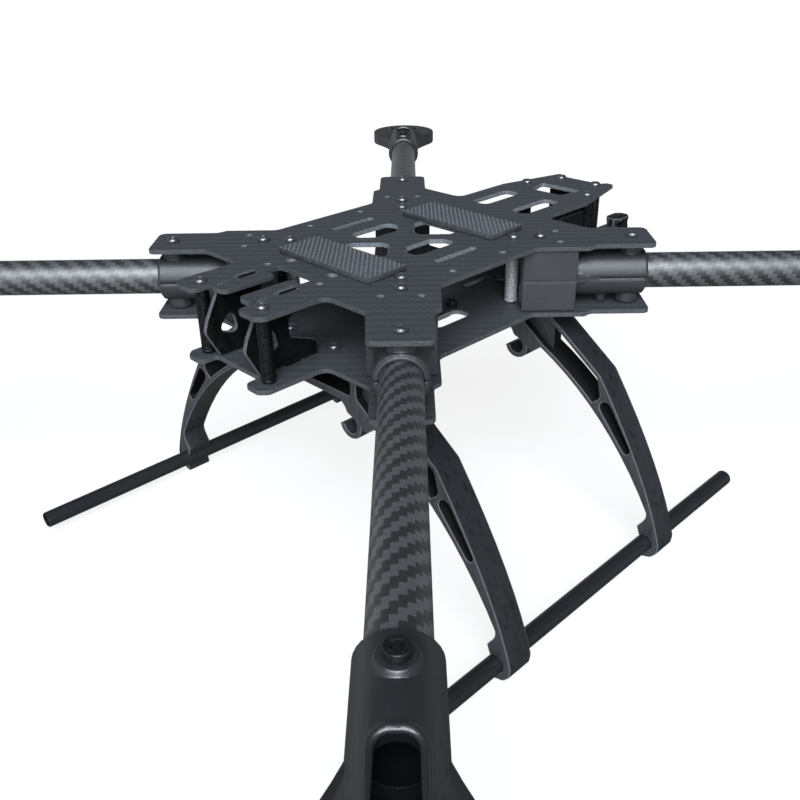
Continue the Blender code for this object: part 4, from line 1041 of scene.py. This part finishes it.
def dotted_pad(node):
    """A rubber pad: a rounded slab with staggered rows of small domes."""
    low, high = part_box(node)
    dome, pitch, radius, margin = 0.00035, 0.0027, 0.00058, 0.0012
    ends = [(low.x, low.y), (high.x, low.y), (high.x, high.y), (low.x, high.y)]
    base = sheet_mesh(node + "_base", [nipped(ends, 0.0004)], 2, low.z, high.z - dome, 0.00015)
    shape = bmesh.new()
    shape.from_mesh(base)
    bpy.data.meshes.remove(base)
    rows = int((high.y - low.y - margin) / (pitch / 2))
    columns = int((high.x - low.x - margin) / (pitch / 2))
    for row in range(rows + 1):
        for column in range(columns + 1):
            if (row + column) % 2:
                continue
            x = (low.x + high.x) / 2 + (column - columns / 2) * pitch / 2
            y = (low.y + high.y) / 2 + (row - rows / 2) * pitch / 2
            skinned(shape, [[shape.verts.new((x + r * radius * math.cos(t), y + r * radius * math.sin(t),
                                              high.z - dome + h * dome)) for t in turns(10)]
                            for r, h in ((1.0, -0.4), (0.94, 0.35), (0.62, 0.85))])
    return to_mesh(node + "_dotted", shape, sharp=50)


for end in ("front", "rear"):
    node = "grip_pad_" + end
    add("dotted_" + node, dotted_pad(node), "frame", (RUBBER,) * 3, (node,))


# ---------------- floor, light and camera

FLOOR_HALF, FLOOR_GLOW = 9.0, 0.85
# The sky's brightness by the height of the direction, -1 to 1, and its lean from the dull side to the bright one.
SKY_ENDS = ((-1.0, 0.20), (1.0, 0.20))
SKY_BAND = ((-0.35, 0.22), (0.0, 0.54), (0.18, 0.34), (0.45, 0.10))
SKY_LEAN, SKY_SIDE = (-1.0, 1.0, 0.45, 0.90), (-0.70, -0.71, 0.0)
SKY_TINT, SUN_TINT = (0.93, 0.97, 1.0, 1.0), (0.91, 0.97, 1.05)
# Each sun's name, strength, spread, heading and height in degrees.
SUNS = (("key", 4.1, 40, 42, 45), ("fill", 0.7, 60, 38, 20))
CAMERA_PLACE, CAMERA_TURN = (0.276086, -0.271425, 0.270322), (45.7991, 28.1976, -1.0208)
CAMERA_LENS, CAMERA_SENSOR, CAMERA_CLIP = 39.664, 36.0, (0.005, 50.0)


def studio():
    """A plain pale floor under soft light from above and beside the camera."""
    shape = bmesh.new()
    bmesh.ops.create_grid(shape, x_segments=8, y_segments=8, size=FLOOR_HALF)
    floor = bpy.data.objects.new("floor", to_mesh("floor", shape))
    SCENE.collection.objects.link(floor)
    pale = Finish("pale_floor", Roughness=0.9, Specular_IOR_Level=0.1, Emission_Color=(1.0, 1.0, 1.0, 1.0),
                  Emission_Strength=FLOOR_GLOW)
    pale.colour(pale.blend(pale.noise(pale.place(), 3.0), (0.16, 0.161, 0.162), (0.18, 0.181, 0.182)))
    floor.data.materials.append(pale.material)
    floor.visible_glossy = False

    world = bpy.data.worlds.new("studio")
    sky = Tree(world)
    way = sky.coords("Generated")
    ramp = sky.node("ShaderNodeFloatCurve", Value=sky.axes(way)["Z"])
    band = ramp.mapping
    band.use_clip = False
    for point, place in zip(band.curves[0].points, SKY_ENDS):
        point.location = place
    for place in SKY_BAND:
        band.curves[0].points.new(*place)
    band.update()
    side = sky.nodes.new("ShaderNodeVectorMath")
    side.operation = "DOT_PRODUCT"
    sky.feed(side.inputs[0], way)
    sky.feed(side.inputs[1], SKY_SIDE)
    lean = sky.span(side.outputs["Value"], *SKY_LEAN)
    light = sky.nodes["Background"]
    light.inputs["Color"].default_value = SKY_TINT
    sky.feed(light.inputs["Strength"], sky.math("MULTIPLY", ramp.outputs[0], lean))
    SCENE.world = world

    for name, energy, spread, heading, height in SUNS:
        sun = bpy.data.lights.new(name, "SUN")
        sun.energy = energy
        sun.angle = math.radians(spread)
        sun.color = SUN_TINT
        lamp = bpy.data.objects.new(name, sun)
        turn, rise = math.radians(heading), math.radians(height)
        toward = Vector((math.sin(turn) * math.cos(rise), -math.cos(turn) * math.cos(rise), math.sin(rise)))
        lamp.rotation_euler = toward.to_track_quat("Z", "Y").to_euler()
        SCENE.collection.objects.link(lamp)


def photo_camera():
    """The camera at the photograph's angle."""
    yaw, pitch, roll = (math.radians(value) for value in CAMERA_TURN)
    back = Vector((math.sin(yaw) * math.cos(pitch), -math.cos(yaw) * math.cos(pitch), math.sin(pitch)))
    right = Vector((math.cos(yaw), math.sin(yaw), 0))
    up = back.cross(right)
    across = math.cos(roll) * right + math.sin(roll) * up
    upward = math.cos(roll) * up - math.sin(roll) * right
    matrix = Matrix((across, upward, back)).transposed().to_4x4()
    matrix.translation = CAMERA_PLACE
    lens = bpy.data.cameras.new("photo_camera")
    lens.lens = CAMERA_LENS
    lens.sensor_width = CAMERA_SENSOR
    lens.clip_start, lens.clip_end = CAMERA_CLIP
    camera = bpy.data.objects.new("photo_camera", lens)
    SCENE.collection.objects.link(camera)
    camera.matrix_world = matrix
    SCENE.camera = camera


studio()
photo_camera()
SCENE.view_settings.view_transform = "Standard"
